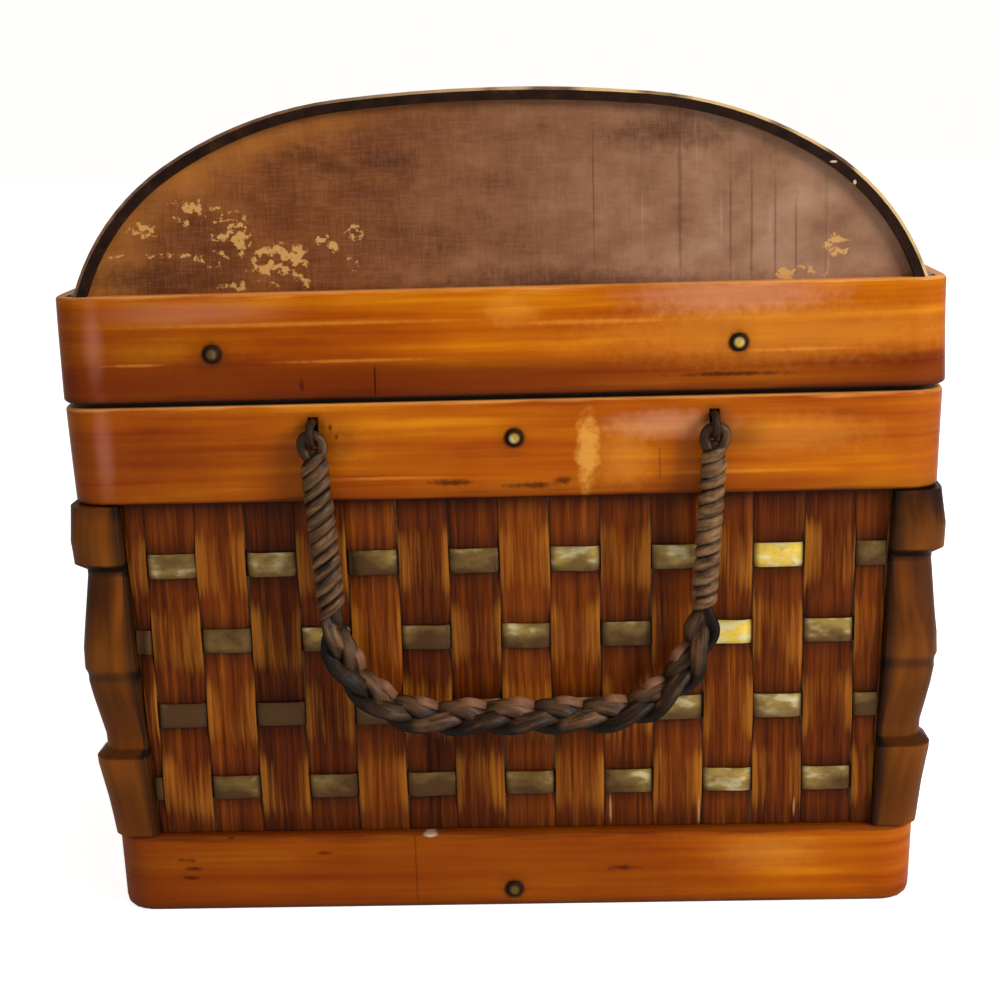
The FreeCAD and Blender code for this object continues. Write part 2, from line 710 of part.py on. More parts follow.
# Where the nails sit: shares of the wall's length from its middle, and of the band's height
LID_NAILS = {"right": (-0.32, 0.265), "left": (-0.3, 0.28),
             "front": (-0.39, -0.13, 0.14, 0.4), "back": (-0.42, -0.13, 0.12, 0.41)}
RIM_NAILS = {"right": (0.014,), "left": (-0.02,), "front": (-0.33, 0.01, 0.32), "back": (-0.4, 0.0, 0.4)}
BASE_NAILS = {"right": (0.0,), "left": (0.02,), "front": (-0.34, 0.0, 0.33), "back": (-0.32, 0.02, 0.34)}
LID_NAIL_LEVEL, RIM_NAIL_LEVEL, BASE_NAIL_LEVEL = 0.45, 0.62, 0.245


def nail_places(table, bottom, height, level, lid=False):
    """Placements of the nails of one band."""
    z = value(bottom) + level * value(height)
    places = []
    for wall, shares in table.items():
        long_wall = wall in ("front", "back")
        run = value("sizes.trunk_length" if long_wall else "sizes.trunk_width")
        places += [wall_place(wall, share * run, z, lid=lid) for share in shares]
    return places


def copies(node, source, places):
    """A group of copies of one object."""
    shapes = []
    for place in places:
        shape = source.Shape.copy()
        shape.Placement = place.multiply(shape.Placement)
        shapes.append(shape)
    return keep(node, coded(node, Part.makeCompound(shapes)))


def drills(diameter, places, depth):
    """Round tools that clear a hole round each fastener."""
    tools = []
    for place in places:
        tool = Part.makeCylinder(diameter / 2 + HOLE_CLEARANCE, depth + DRILL_AHEAD, Vector(0, 0, -depth))
        tool.Placement = place
        tools.append(tool)
    return tools


lid_nail_places = nail_places(LID_NAILS, LID_BOTTOM, "sizes.lid_band_height", LID_NAIL_LEVEL, lid=True)
rim_nail_places = nail_places(RIM_NAILS, RIM_BOTTOM, "sizes.rim_band_height", RIM_NAIL_LEVEL)
base_nail_places = nail_places(BASE_NAILS, "0", "sizes.base_band_height", BASE_NAIL_LEVEL)
copies("lid_band_nails", nail, lid_nail_places)
copies("rim_band_nails", nail, rim_nail_places)
copies("base_band_nails", nail, base_nail_places)
nail_depth = value(nail_length) + HOLE_CLEARANCE
lid_tools = drills(value("sizes.nail_diameter"), lid_nail_places, nail_depth)
rim_tools = drills(value("sizes.nail_diameter"), rim_nail_places, nail_depth)
base_tools = drills(value("sizes.nail_diameter"), base_nail_places, nail_depth)

# Hinges: two butt hinges on the back, the pin just outside the seam
KNUCKLES = 5
KNUCKLE_WALL = 1.4
KNUCKLE_GAP = 0.2
PIN_STAND = derive(
    "pin_stand", f"sizes.pin_diameter / 2 + {KNUCKLE_WALL} + {TURNING_CLEARANCE}")
KNUCKLE_RADIUS = derive("knuckle_radius", f"sizes.pin_diameter / 2 + {KNUCKLE_WALL}")
PIN_Y = derive("pin_y", f"sizes.trunk_width / 2 + {PIN_STAND}")
PIN_Z = derive("pin_z", f"({RIM_TOP} + {LID_BOTTOM}) / 2")
LEAN = math.atan(value(SLOPE))
BODY_STAND = derive(
    "body_stand", f"({PIN_Y} - {half_width(PIN_Z)}) / sqrt(1 + {SLOPE} ^ 2)")
LEAF_START = derive("leaf_start", f"{KNUCKLE_RADIUS} + {TURNING_CLEARANCE}")
SCREW_SHARES = (-0.36, 0.0, 0.36)
SCREW_LEVEL = 0.62
SCREW_HEAD_SHARE = 2.0
SCREW_HEAD_RISE = 0.9
SCREW_SHORT = 2.0


def hinge_box(name, x, length, y, depth, z, height):
    """A box placed by expressions."""
    box = doc.addObject("Part::Box", name)
    for key, expression in (("Length", length), ("Width", depth), ("Height", height),
                            ("Placement.Base.x", x), ("Placement.Base.y", y), ("Placement.Base.z", z)):
        box.setExpression(key, expression)
    return box


def hinge_barrel(name, x, length, radius):
    """A round bar along x on the pin's axis, placed by expressions."""
    barrel = doc.addObject("Part::Cylinder", name)
    barrel.Placement = Placement(Vector(), Rotation(Vector(0, 1, 0), 90))
    barrel.setExpression("Radius", radius)
    barrel.setExpression("Height", length)
    barrel.setExpression("Placement.Base.x", x)
    return barrel


def hinge_leaf(name, stand, upward, own):
    """A hinge leaf about its pin: a plate, its own knuckles and the webs that carry them."""
    pitch = f"sizes.hinge_length / {KNUCKLES}"
    length = f"{pitch} - {KNUCKLE_GAP}"
    plate_z = LEAF_START if upward else f"-{LEAF_START} - sizes.leaf_height"
    pieces = [hinge_box(f"{name}_plate", "-sizes.hinge_length / 2", "sizes.hinge_length",
                        f"-{stand}", "sizes.leaf_thickness", plate_z, "sizes.leaf_height")]
    for i in own:
        x = f"{pitch} * {i} - sizes.hinge_length / 2 + {KNUCKLE_GAP / 2}"
        web_z = "0" if upward else f"-{LEAF_START}"
        pieces.append(hinge_box(f"{name}_web_{i}", x, length, f"-{stand}", "sizes.leaf_thickness",
                                web_z, LEAF_START))
        pieces.append(hinge_barrel(f"{name}_knuckle_{i}", x, length, KNUCKLE_RADIUS))
    solid = doc.addObject("Part::MultiFuse", f"{name}_solid")
    solid.Shapes = pieces
    bore = hinge_barrel(f"{name}_bore", "-sizes.hinge_length", "2 * sizes.hinge_length",
                        f"sizes.pin_diameter / 2 + {PIN_CLEARANCE}")
    bored = cut(f"{name}_bored", solid, bore)
    direction = 1 if upward else -1
    level = direction * (value(LEAF_START) + SCREW_LEVEL * value("sizes.leaf_height"))
    seat = value("sizes.leaf_thickness") - value(stand)
    places = []
    for share in SCREW_SHARES:
        base = Vector(share * value("sizes.hinge_length"), seat, level)
        places.append(Placement(base, Rotation(Vector(1, 0, 0), -90)))
    tools = drills(value("sizes.screw_diameter"), places, 3 * value("sizes.leaf_thickness"))
    holes = coded(f"{name}_screw_holes", Part.makeCompound(tools))
    return cut(name, bored, holes), places


screw_length = f"sizes.leaf_thickness + {BAND_AND_BOARD} - {SCREW_SHORT}"
screw = dome_headed(
    "hinge_screw", f"{SCREW_HEAD_SHARE} * sizes.screw_diameter", f"{SCREW_HEAD_RISE}",
    "sizes.screw_diameter", screw_length)
body_leaf, body_screws = hinge_leaf("body_leaf", BODY_STAND, False, range(0, KNUCKLES, 2))
lid_leaf, lid_screws = hinge_leaf("lid_leaf", PIN_STAND, True, range(1, KNUCKLES, 2))
hinge_pin = hinge_barrel("hinge_pin", "-sizes.hinge_length / 2", "sizes.hinge_length",
                         "sizes.pin_diameter / 2")
for feature in (body_leaf, lid_leaf, hinge_pin):
    feature.recompute(True)

hinge_places = []
leaning_places = []
for side in (-1, 1):
    centre = Vector(side * value("sizes.hinge_spacing") / 2, value(PIN_Y), value(PIN_Z))
    hinge_places.append(Placement(centre, Rotation()))
    leaning_places.append(Placement(centre, Rotation(Vector(1, 0, 0), -math.degrees(LEAN))))
body_screw_places = [hinge.multiply(place) for hinge in leaning_places for place in body_screws]
lid_screw_places = [hinge.multiply(place) for hinge in hinge_places for place in lid_screws]
copies("hinge_body_leaves", body_leaf, leaning_places)
copies("hinge_lid_leaves", lid_leaf, hinge_places)
copies("hinge_pins", hinge_pin, hinge_places)
copies("hinge_body_screws", screw, body_screw_places)
copies("hinge_lid_screws", screw, lid_screw_places)
screw_depth = value(screw_length) + HOLE_CLEARANCE
rim_tools += drills(value("sizes.screw_diameter"), body_screw_places, screw_depth)
lid_tools += drills(value("sizes.screw_diameter"), lid_screw_places, screw_depth)

# Handles: a laced rope bow that swings on two thongs, made at the right end and mirrored to the left
MOST_TURNS = 24
SAMPLES = 48
EYE_ROOM = 0.9
EYE_THROAT = 0.8
LACE_TAIL = 1.0
CORE_TUCK = 1.0
THONG_TAIL = 2.0
KNOT_HEIGHT = 4.0
KNOT_MARGIN = 2.4
KNOT_ROUNDING = 0.6
SLOT_CLEARANCE = 0.4
SLOT_OVERRUN = 4.0
LACE_RADIUS = value("sizes.lace_diameter") / 2
WINDING_RADIUS = value("sizes.leg_diameter") / 2 - LACE_RADIUS
CORE_RADIUS = WINDING_RADIUS - LACE_RADIUS - SEAT
THONG_RADIUS = value("sizes.thong_diameter") / 2
LOOP_RADIUS = CORE_RADIUS + TURNING_CLEARANCE + THONG_RADIUS
EYE_HALF = THONG_RADIUS + CORE_RADIUS + EYE_ROOM
EYE_DEPTH = LOOP_RADIUS + THONG_RADIUS + CORE_RADIUS + EYE_THROAT
NECK_DEPTH = EYE_DEPTH + CORE_RADIUS + LACE_TAIL
KNOT_RADIUS = LOOP_RADIUS + THONG_RADIUS + KNOT_MARGIN
PIVOT = Vector(
    value(half_length(PIVOT_HEIGHT)) + value(STANDOFF),
    value("sizes.handle_shift"), value(PIVOT_HEIGHT))


def arc_from(start, tangent, end):
    """The arc that leaves a point along a direction and reaches another point."""
    chord = end - start
    across = chord - tangent * chord.dot(tangent)
    if across.Length < 1e-9:
        return Part.makeLine(start, end)
    across.normalize()
    radius = chord.dot(chord) / 2 / chord.dot(across)
    centre = start + across * radius
    bulge = ((start - centre) + (end - centre)).normalize()
    return Part.Arc(start, centre + bulge * radius, end).toShape()


def tube(edges, radius):
    """A round tube along joined edges."""
    path = Part.Wire(edges)
    start = edges[0].valueAt(edges[0].FirstParameter)
    tangent = edges[0].tangentAt(edges[0].FirstParameter)
    ring = Part.Wire(Part.makeCircle(radius, start, tangent))
    return path.makePipeShell([ring], True, False)


def leg_points(side):
    """Top of a leg at the pivot, and the end of its lacing."""
    top = Vector(0, side * value("sizes.handle_spacing") / 2, 0)
    foot = top + Vector(0, -side * value("sizes.leg_taper"), -value(LEG_LENGTH))
    return top, foot


def rope_bow():
    """The bow between the two legs: two corners and a straight grip."""
    radius = BOW_CORNER_SHARE * value("sizes.handle_drop")
    bottom = -value("sizes.handle_drop")
    top, foot = leg_points(1)
    along = (top - foot).normalize()
    corner = top - along * ((top.z - bottom) / along.z)
    tangent = radius * math.tan((math.pi / 2 - math.atan2(along.y, along.z)) / 2)
    right = [foot, corner + along * tangent, corner - Vector(0, tangent, 0)]
    left = [Vector(0, -p.y, p.z) for p in reversed(right)]
    left_along = Vector(0, -1, 0)
    edges = [Part.makeLine(right[0], right[1]), arc_from(right[1], -along, right[2]),
             Part.makeLine(right[2], left[0]), arc_from(left[0], left_along, left[1]),
             Part.makeLine(left[1], left[2])]
    return tube(edges, value("sizes.bow_diameter") / 2)


def eye(side):
    """The eye at the top of a leg: a bar through the thong, two cheeks, and a bar across the leg's core."""
    top, foot = leg_points(side)
    along = (top - foot).normalize()
    neck = top - along * EYE_DEPTH
    out = Vector(0, EYE_HALF, 0)
    rods = [(top - out, top + out), (neck - out, neck + out), (top - out, neck - out), (top + out, neck + out)]
    solids = [Part.makeSphere(CORE_RADIUS, corner) for corner in rods[0] + rods[1]]
    rods.append((neck, foot - along * CORE_TUCK))
    for start, end in rods:
        solids.append(Part.makeCylinder(CORE_RADIUS, (end - start).Length, start, end - start))
    return solids


def winding(side):
    """The lace round one leg: a helix in quarter turns, each of two arcs, with straight ends."""
    top, foot = leg_points(side)
    along = (top - foot).normalize()
    pitch = value("sizes.lace_diameter") + LACE_GAP
    length = (top - foot).Length - NECK_DEPTH - 2 * LACE_RADIUS
    turns = min(MOST_TURNS, int(length / pitch))
    rise = pitch / (2 * math.pi)
    speed = math.hypot(WINDING_RADIUS, rise)
    start_height = (top - foot).Length - NECK_DEPTH - LACE_RADIUS - turns * pitch

    def at(angle):
        """Point and direction of the helix at an angle, up the local z axis."""
        c, s = math.cos(angle), math.sin(angle)
        point = Vector(WINDING_RADIUS * c, WINDING_RADIUS * s, start_height + rise * angle)
        return point, Vector(-WINDING_RADIUS * s, WINDING_RADIUS * c, rise) / speed

    edges = []
    first, first_way = at(0.0)
    edges.append(Part.makeLine(first - first_way * 2 * LACE_RADIUS, first))
    for quarter in range(4 * turns):
        p0, t0 = at(quarter * math.pi / 2)
        p1, t1 = at((quarter + 1) * math.pi / 2)
        span, both = p1 - p0, t0 + t1
        bend = 1 - t0.dot(t1)
        reach = (math.sqrt(span.dot(both) ** 2 + 2 * bend * span.dot(span)) - span.dot(both)) / (2 * bend)
        joint = (p0 + p1 + (t0 - t1) * reach) / 2
        joint_way = (p1 - t1 * reach - p0 - t0 * reach).normalize()
        edges += [arc_from(p0, t0, joint), arc_from(joint, joint_way, p1)]
    last, last_way = at(2 * math.pi * turns)
    edges.append(Part.makeLine(last, last + last_way * 2 * LACE_RADIUS))
    solid = tube(edges, LACE_RADIUS)
    solid.Placement = Placement(foot, Rotation(Vector(0, 0, 1), along))
    points = [at(2 * math.pi * i / SAMPLES)[0] for i in range(SAMPLES * turns + 1)]
    apart = min(points[i].distanceToPoint(points[j])
                for i in range(SAMPLES) for j in range(i + 2 * SAMPLES // 3, i + 5 * SAMPLES // 3))
    return solid, turns, apart - 2 * LACE_RADIUS


def thong(side):
    """A thong: a loop round the eye's bar, two tails through the wall and the knot behind it."""
    top, _ = leg_points(side)
    centre = PIVOT + top
    wall_x = value(half_length(PIVOT_HEIGHT)) - value(BAND_AND_BOARD)
    inside = Vector(wall_x - THONG_TAIL, centre.y, centre.z)
    up = Vector(0, 0, LOOP_RADIUS)
    turn = Part.Arc(centre + up, centre + Vector(LOOP_RADIUS, 0, 0), centre - up).toShape()
    edges = [Part.makeLine(inside + up, centre + up), turn, Part.makeLine(centre - up, inside - up)]
    loop = tube(edges, THONG_RADIUS)
    knot = Part.makeCylinder(KNOT_RADIUS, KNOT_HEIGHT)
    rim = [e for e in knot.Edges if e.BoundBox.ZMin > KNOT_HEIGHT - 0.01]
    knot = knot.makeFillet(KNOT_HEIGHT * KNOT_ROUNDING, rim)
    place = wall_place("right", centre.y, centre.z, depth=value(BAND_AND_BOARD))
    knot.Placement = place.multiply(Placement(Vector(), Rotation(Vector(1, 0, 0), 180)))
    return loop.fuse(knot).removeSplitter()


def thong_slot(side, end):
    """The tool for the slot that the tails of a thong pass through, at the right (1) or left (-1) end."""
    top, _ = leg_points(side)
    centre = PIVOT + top
    radius = THONG_RADIUS + SLOT_CLEARANCE
    depth = value(BAND_AND_BOARD) + value(STANDOFF) + SLOT_OVERRUN
    start = Vector(centre.x - depth if end > 0 else -centre.x, centre.y, centre.z)
    way = Vector(1, 0, 0)
    up = Vector(0, 0, LOOP_RADIUS)
    middle = Part.makeBox(depth, 2 * radius, 2 * LOOP_RADIUS, start - up - Vector(0, radius, 0))
    ends = [Part.makeCylinder(radius, depth, start + offset, way) for offset in (up, -up)]
    return middle.fuse(ends).removeSplitter()


rope = rope_bow().fuse(eye(1) + eye(-1)).removeSplitter()
rope.Placement = Placement(PIVOT, Rotation())
laces = []
for side in (1, -1):
    lace, turns, gap = winding(side)
    lace.Placement = Placement(PIVOT, Rotation()).multiply(lace.Placement)
    laces.append(lace)
    print(f"lace of {turns} turns, least gap to itself {gap:.2f} mm")
right_parts = {
    "handle_rope": coded("right_handle_rope", rope),
    "handle_laces": coded("right_handle_laces", Part.makeCompound(laces)),
    "handle_thongs": coded("right_handle_thongs", Part.makeCompound([thong(1), thong(-1)])),
}
for name, feature in right_parts.items():
    keep(f"right_{name}", feature)
    mirror(f"left_{name}", feature, Vector(1, 0, 0))
slots = [thong_slot(side, end) for side in (1, -1) for end in (1, -1)]

# Holes through the bands and boards for everything that passes through them
lid_holes = coded("lid_holes", Part.makeCompound(lid_tools))
rim_holes = coded("rim_holes", Part.makeCompound(rim_tools + slots))
base_holes = coded("base_holes", Part.makeCompound(base_tools))
wall_holes = coded("wall_holes", Part.makeCompound(rim_tools + base_tools + slots))
keep("lid_band", cut("lid_band", lid_band, lid_holes))
keep("rim_band", cut("rim_band", rim_band, rim_holes))
keep("base_band", cut("base_band", base_band, base_holes))
for wall in WALLS:
    kind = "wall_board" if wall in ("front", "back") else "end_board"
    keep(f"{wall}_{kind}", cut(f"{wall}_{kind}", boards[wall], wall_holes))
for wall in ("front", "back"):
    keep(f"lid_{wall}_rail", cut(f"lid_{wall}_rail", rails[wall], lid_holes))
for wall in ("right", "left"):
    keep(f"lid_{wall}_end_panel", cut(f"lid_{wall}_end_panel", panels[wall], lid_holes))
doc.recompute()

# Check every object, then write one file for each node
for feature in doc.Objects:
    bad = {"Invalid", "Error"} & set(feature.State)
    if bad:
        raise RuntimeError(f"{feature.Label} is in state {bad}")
os.makedirs("parts", exist_ok=True)
for node, feature in NODES.items():
    if feature.Shape.isNull() or not feature.Shape.isValid():
        raise RuntimeError(f"{node} has no valid shape")
    feature.Shape.exportStep(f"parts/{node}.step")
print(f"wrote {len(NODES)} nodes")
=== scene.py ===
# %% [markdown]
# # A small woven trunk with a domed lid
# The trunk is a box of thin boards with a wicker skin, three bent bamboo bands, carved corner posts, a
# domed lid and a plaited leather handle at each end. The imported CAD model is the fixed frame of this
# scene. Pieces whose real shape is soft, bent or hand cut are made again here as surfaces, and every
# other node keeps its shape and gets a finish. All lengths are in metres, x along the trunk, y to the
# hinged back and z up from the floor.

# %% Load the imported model
import math
from types import SimpleNamespace

import bpy
import numpy as np
from mathutils import Matrix, Vector


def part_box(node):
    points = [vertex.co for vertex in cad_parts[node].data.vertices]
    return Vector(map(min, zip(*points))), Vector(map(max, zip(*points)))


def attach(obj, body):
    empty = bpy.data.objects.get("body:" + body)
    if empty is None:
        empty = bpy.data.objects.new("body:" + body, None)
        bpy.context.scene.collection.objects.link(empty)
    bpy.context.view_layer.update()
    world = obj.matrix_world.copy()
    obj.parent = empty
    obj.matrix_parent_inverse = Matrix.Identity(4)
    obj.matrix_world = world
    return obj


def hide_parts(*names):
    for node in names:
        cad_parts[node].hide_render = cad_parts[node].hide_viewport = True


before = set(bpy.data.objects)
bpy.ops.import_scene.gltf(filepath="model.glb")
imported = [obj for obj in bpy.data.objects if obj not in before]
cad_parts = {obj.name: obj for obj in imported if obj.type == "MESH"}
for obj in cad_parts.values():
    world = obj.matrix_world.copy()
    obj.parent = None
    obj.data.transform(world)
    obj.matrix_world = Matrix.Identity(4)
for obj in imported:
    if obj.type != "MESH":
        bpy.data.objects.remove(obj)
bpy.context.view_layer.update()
MM = 0.001

# %% [markdown]
# The camera stands where the photographer stood: in front of one end, level with the crown of the lid,
# looking down by about twelve degrees. Its place and lens come from fitting the edges of the bands and
# the arch of the dome, with no roof in sight behind the arch. The three angles include the small roll of
# a hand-held picture.

# %% Camera
CAMERA_PLACE = Vector((0.8591, 0.0192, 0.2945))
PITCH = math.radians(12.23)
YAW = math.radians(-1.81)
ROLL = math.radians(1.59)
LENS = 68.6
SENSOR_WIDTH = 36.0

ahead = Vector((-math.cos(YAW) * math.cos(PITCH), math.sin(YAW) * math.cos(PITCH), -math.sin(PITCH)))
level = Vector((math.sin(YAW), math.cos(YAW), 0.0))
upright = level.cross(ahead)
right_axis = level * math.cos(ROLL) - upright * math.sin(ROLL)
up_axis = level * math.sin(ROLL) + upright * math.cos(ROLL)

camera = bpy.data.objects.new("camera", bpy.data.cameras.new("camera"))
camera.data.lens = LENS
camera.data.sensor_width = SENSOR_WIDTH
camera.matrix_world = Matrix.LocRotScale(
    CAMERA_PLACE, Matrix((right_axis, up_axis, -ahead)).transposed().to_quaternion(), None)
bpy.context.scene.collection.objects.link(camera)
bpy.context.scene.camera = camera
bpy.context.scene.view_settings.view_transform = "Standard"
print("camera at", [round(v, 3) for v in CAMERA_PLACE])

# %% [markdown]
# Every finish is made of shader nodes. A few small helpers keep the recipes short: one adds a node and
# fills its inputs, and the others wrap the nodes that all finishes use, such as noise, a colour ramp or a
# mix of colours.

# %% Shader helpers
FINISHES = {}


def feed(tree, node, inputs):
    """Fill inputs of a node. Each is a number, a colour or the output of another node."""
    for key, source in inputs.items():
        if isinstance(source, bpy.types.NodeSocket):
            tree.links.new(source, node.inputs[key])
        else:
            node.inputs[key].default_value = source


def put(tree, kind, inputs=None, **settings):
    """Add a node with its settings and inputs."""
    node = tree.nodes.new("ShaderNode" + kind)
    for key, setting in settings.items():
        setattr(node, key, setting)
    feed(tree, node, inputs or {})
    return node


def colour(red, green, blue):
    """A colour from screen values of 0 to 255, as linear light."""
    screen = np.array([red, green, blue]) / 255
    linear = np.where(screen <= 0.04045, screen / 12.92, ((screen + 0.055) / 1.055) ** 2.4)
    return (*linear.tolist(), 1.0)


def calc(tree, operation, first, second=0.0, third=0.0):
    """One sum of up to three values."""
    return put(tree, "Math", {0: first, 1: second, 2: third}, operation=operation).outputs[0]


def part_of(tree, mask, amount):
    """A mask at a part of its strength, which may be another mask."""
    return calc(tree, "MULTIPLY", mask, amount)


def rest_of(tree, mask):
    """What a mask leaves over."""
    return calc(tree, "SUBTRACT", 1.0, mask)


def weighed(tree, start, *parts):
    """A start value, and on top of it each source times its weight."""
    for source, weight in parts:
        start = calc(tree, "MULTIPLY_ADD", source, weight, start)
    return start


def vector(tree, operation, first, second=(0.0, 0.0, 0.0)):
    """One sum of two places, or the length of the first."""
    outputs = put(tree, "VectorMath", {0: first, 1: second}, operation=operation).outputs
    return outputs["Value" if operation == "LENGTH" else "Vector"]


def step_up(tree, source, low, high):
    """A smooth step from 0 at the low value to 1 at the high value."""
    values = {"Value": source, "From Min": low, "From Max": high}
    return put(tree, "MapRange", values, interpolation_type="SMOOTHSTEP").outputs[0]


def blend(tree, amount, first, second, mode="MIX"):
    """Two colours mixed by an amount."""
    values = {0: amount, 6: first, 7: second}
    return put(tree, "Mix", values, data_type="RGBA", blend_type=mode).outputs[2]


def stain(tree, base, mask, amount, tint):
    """A colour, turned towards a tint by a part of a mask, for stains and also for painted shade and light.
    """
    return blend(tree, part_of(tree, mask, amount), base, colour(*tint))


def noise(tree, place, stretch, detail=3.0, rough=0.55):
    """Cloudy noise, with so many patches to the metre along each axis."""
    scaled = vector(tree, "MULTIPLY", place, stretch)
    values = {"Vector": scaled, "Scale": 1.0, "Detail": detail, "Roughness": rough}
    return put(tree, "TexNoise", values).outputs["Fac"]


def ramp(tree, source, *stops):
    """Colours along a ramp: each stop is a position and the screen values of a colour."""
    node = put(tree, "ValToRGB", {"Fac": source})
    points = node.color_ramp.elements
    while len(points) < len(stops):
        points.new(0.5)
    for point, (position, tint) in zip(points, stops):
        point.position = position
        point.color = colour(*tint)
    return node.outputs["Color"]


def field(tree, name):
    """A number that the piece's mesh carries at each point."""
    return put(tree, "Attribute", attribute_name=name).outputs["Fac"]


def grain_place(tree):
    """Where a point lies on its piece: along the grain, across it, and its strip's own number."""
    return put(tree, "Attribute", attribute_name="grain").outputs["Vector"]


def object_place(tree):
    """Where a point lies on the trunk, as a place and as its three axes."""
    place = put(tree, "TexCoord").outputs["Object"]
    return place, put(tree, "SeparateXYZ", {0: place}).outputs


def bump(tree, height, strength, depth):
    """A bend of the shading by a height, so deep in metres."""
    return put(tree, "Bump", {"Height": height, "Strength": strength, "Distance": depth}).outputs[0]


def begin(name):
    """A new finish, listed under its slot: its node tree and its Principled shader."""
    material = bpy.data.materials.new(name)
    material.use_nodes = True
    FINISHES[name] = material
    return material.node_tree, material.node_tree.nodes["Principled BSDF"]


print("shader helpers ready")

# %% [markdown]
# A plain pale floor and soft light show lacquer and brass best: large area lights make long gentle
# reflections on the bands, and the pale room all round fills the shadows. The key light stands to the
# right of the camera, where the brass of the photographed end is brightest. The camera sees a white room,
# but the room lights the trunk with about a third of that, because too much white all round would wash
# out the deep colour of the lacquer.

# %% Floor and light
ROOM_GLOW = 0.3
FLOOR_GLOW = 0.76
FLOOR_HALF = 6.0


def area_light(name, place, aim, size, power):
    """A square soft light at a place, turned to shine at a point."""
    lamp = bpy.data.lights.new(name, "AREA")
    lamp.size = size
    lamp.energy = power
    holder = bpy.data.objects.new(name, lamp)
    way = Vector(aim) - Vector(place)
    holder.matrix_world = Matrix.LocRotScale(Vector(place), way.to_track_quat("-Z", "Y"), None)
    bpy.context.scene.collection.objects.link(holder)


def camera_sees(tree, camera_value, other_value):
    """One value for the rays of the camera, and another for all other light."""
    ray = put(tree, "LightPath").outputs["Is Camera Ray"]
    return put(tree, "MapRange", {"Value": ray, "To Min": other_value, "To Max": camera_value}).outputs[0]


area_light("key", (1.15, 1.3, 0.95), (0.1, 0.05, 0.15), 0.7, 30.0)
area_light("fill", (1.5, -0.9, 0.9), (0.0, 0.0, 0.15), 1.2, 4.0)
area_light("back", (-1.6, 0.4, 1.5), (0.0, 0.0, 0.15), 1.2, 14.0)

world = bpy.data.worlds.new("studio")
world.use_nodes = True
room = world.node_tree
feed(room, room.nodes["Background"], {
    "Color": (1.0, 0.99, 0.97, 1.0), "Strength": camera_sees(room, 1.0, ROOM_GLOW)})
bpy.context.scene.world = world

floor_mesh = bpy.data.meshes.new("floor")
floor_corners = ((-1, -1), (1, -1), (1, 1), (-1, 1))
floor_points = [(x * FLOOR_HALF, y * FLOOR_HALF, 0.0) for x, y in floor_corners]
floor_mesh.from_pydata(floor_points, [], [(0, 1, 2, 3)])
floor = bpy.data.objects.new("floor", floor_mesh)
bpy.context.scene.collection.objects.link(floor)
pale = bpy.data.materials.new("pale_floor")
pale.use_nodes = True
feed(pale.node_tree, pale.node_tree.nodes["Principled BSDF"], {
    "Base Color": (0.9, 0.9, 0.89, 1.0), "Roughness": 0.8, "Emission Color": (1.0, 1.0, 0.99, 1.0),
    "Emission Strength": camera_sees(pale.node_tree, FLOOR_GLOW, 0.0)})
floor_mesh.materials.append(pale)
print("lights:", len(bpy.data.lights))

# %% [markdown]
# Effects that several finishes share are node groups, built once. Split bamboo, wood and splints all show
# long streaks, fine fibres and slow changes of tone. Stains, chips and patches of painted light and shade
# are soft ellipses with a broken edge. Wear eats into a colour where a surface stands proud, and the same
# broken mask also lays painted shade and painted sheen. Tarnish creeps over brass in clouds and spots, and
# painted reflections lie on it as gleams.

# %% Shared effects
END_FACE = 213.0 * MM
MARK_DEPTH = 50.0 * MM
BROAD_BREAKUP = (35.0, 500.0, 500.0)
FINE_BREAKUP = (26.0, 720.0, 720.0)


def new_group(name, inputs, outputs):
    """An empty node group with named sockets: its tree, its given values and its end node."""
    tree = bpy.data.node_groups.new(name, "ShaderNodeTree")
    for label, kind in inputs.items():
        tree.interface.new_socket(label, in_out="INPUT", socket_type="NodeSocket" + kind)
    for label in outputs:
        tree.interface.new_socket(label, in_out="OUTPUT", socket_type="NodeSocketFloat")
    return tree, tree.nodes.new("NodeGroupInput").outputs, tree.nodes.new("NodeGroupOutput")


def noise_group(name, **noises):
    """A group of noises: each has its stretch, detail and roughness, and some a smooth step's range."""
    tree, given, end = new_group(name, {"Place": "Vector"}, noises)
    for label, (stretch, detail, rough, *steps) in noises.items():
        cloud = noise(tree, given["Place"], stretch, detail, rough)
        feed(tree, end, {label: step_up(tree, cloud, *steps) if steps else cloud})
    return tree


def make_soft_mark():
    """A mark round a centre: 1 inside an ellipse, 0 outside, with an edge that a rough number breaks up.

    Inner is the share of the reach at which the mark starts to fade.
    """
    inputs = {"Place": "Vector", "Centre": "Vector", "Reach": "Vector", "Rough": "Float", "Inner": "Float"}
    tree, given, end = new_group("soft_mark", inputs, ["Mask"])
    offset = vector(tree, "SUBTRACT", given["Place"], given["Centre"])
    far = vector(tree, "LENGTH", vector(tree, "DIVIDE", offset, given["Reach"]))
    broken = calc(tree, "ADD", far, given["Rough"])
    feed(tree, end, {"Mask": rest_of(tree, step_up(tree, broken, given["Inner"], 1.0))})
    return tree


def make_broken_patches():
    """A mask that starts where a number is high, in patches of a given fineness: wear, painted shade and
    sheen.
    """
    tree, given, end = new_group(
        "broken_wear", {"Wear": "Float", "Place": "Vector", "Fineness": "Vector"}, ["Mask"])
    cloud = calc(tree, "SUBTRACT", noise(tree, given["Place"], given["Fineness"], 4.0), 0.5)
    feed(tree, end, {"Mask": step_up(tree, weighed(tree, given["Wear"], (cloud, 1.3)), 0.3, 0.95)})
    return tree


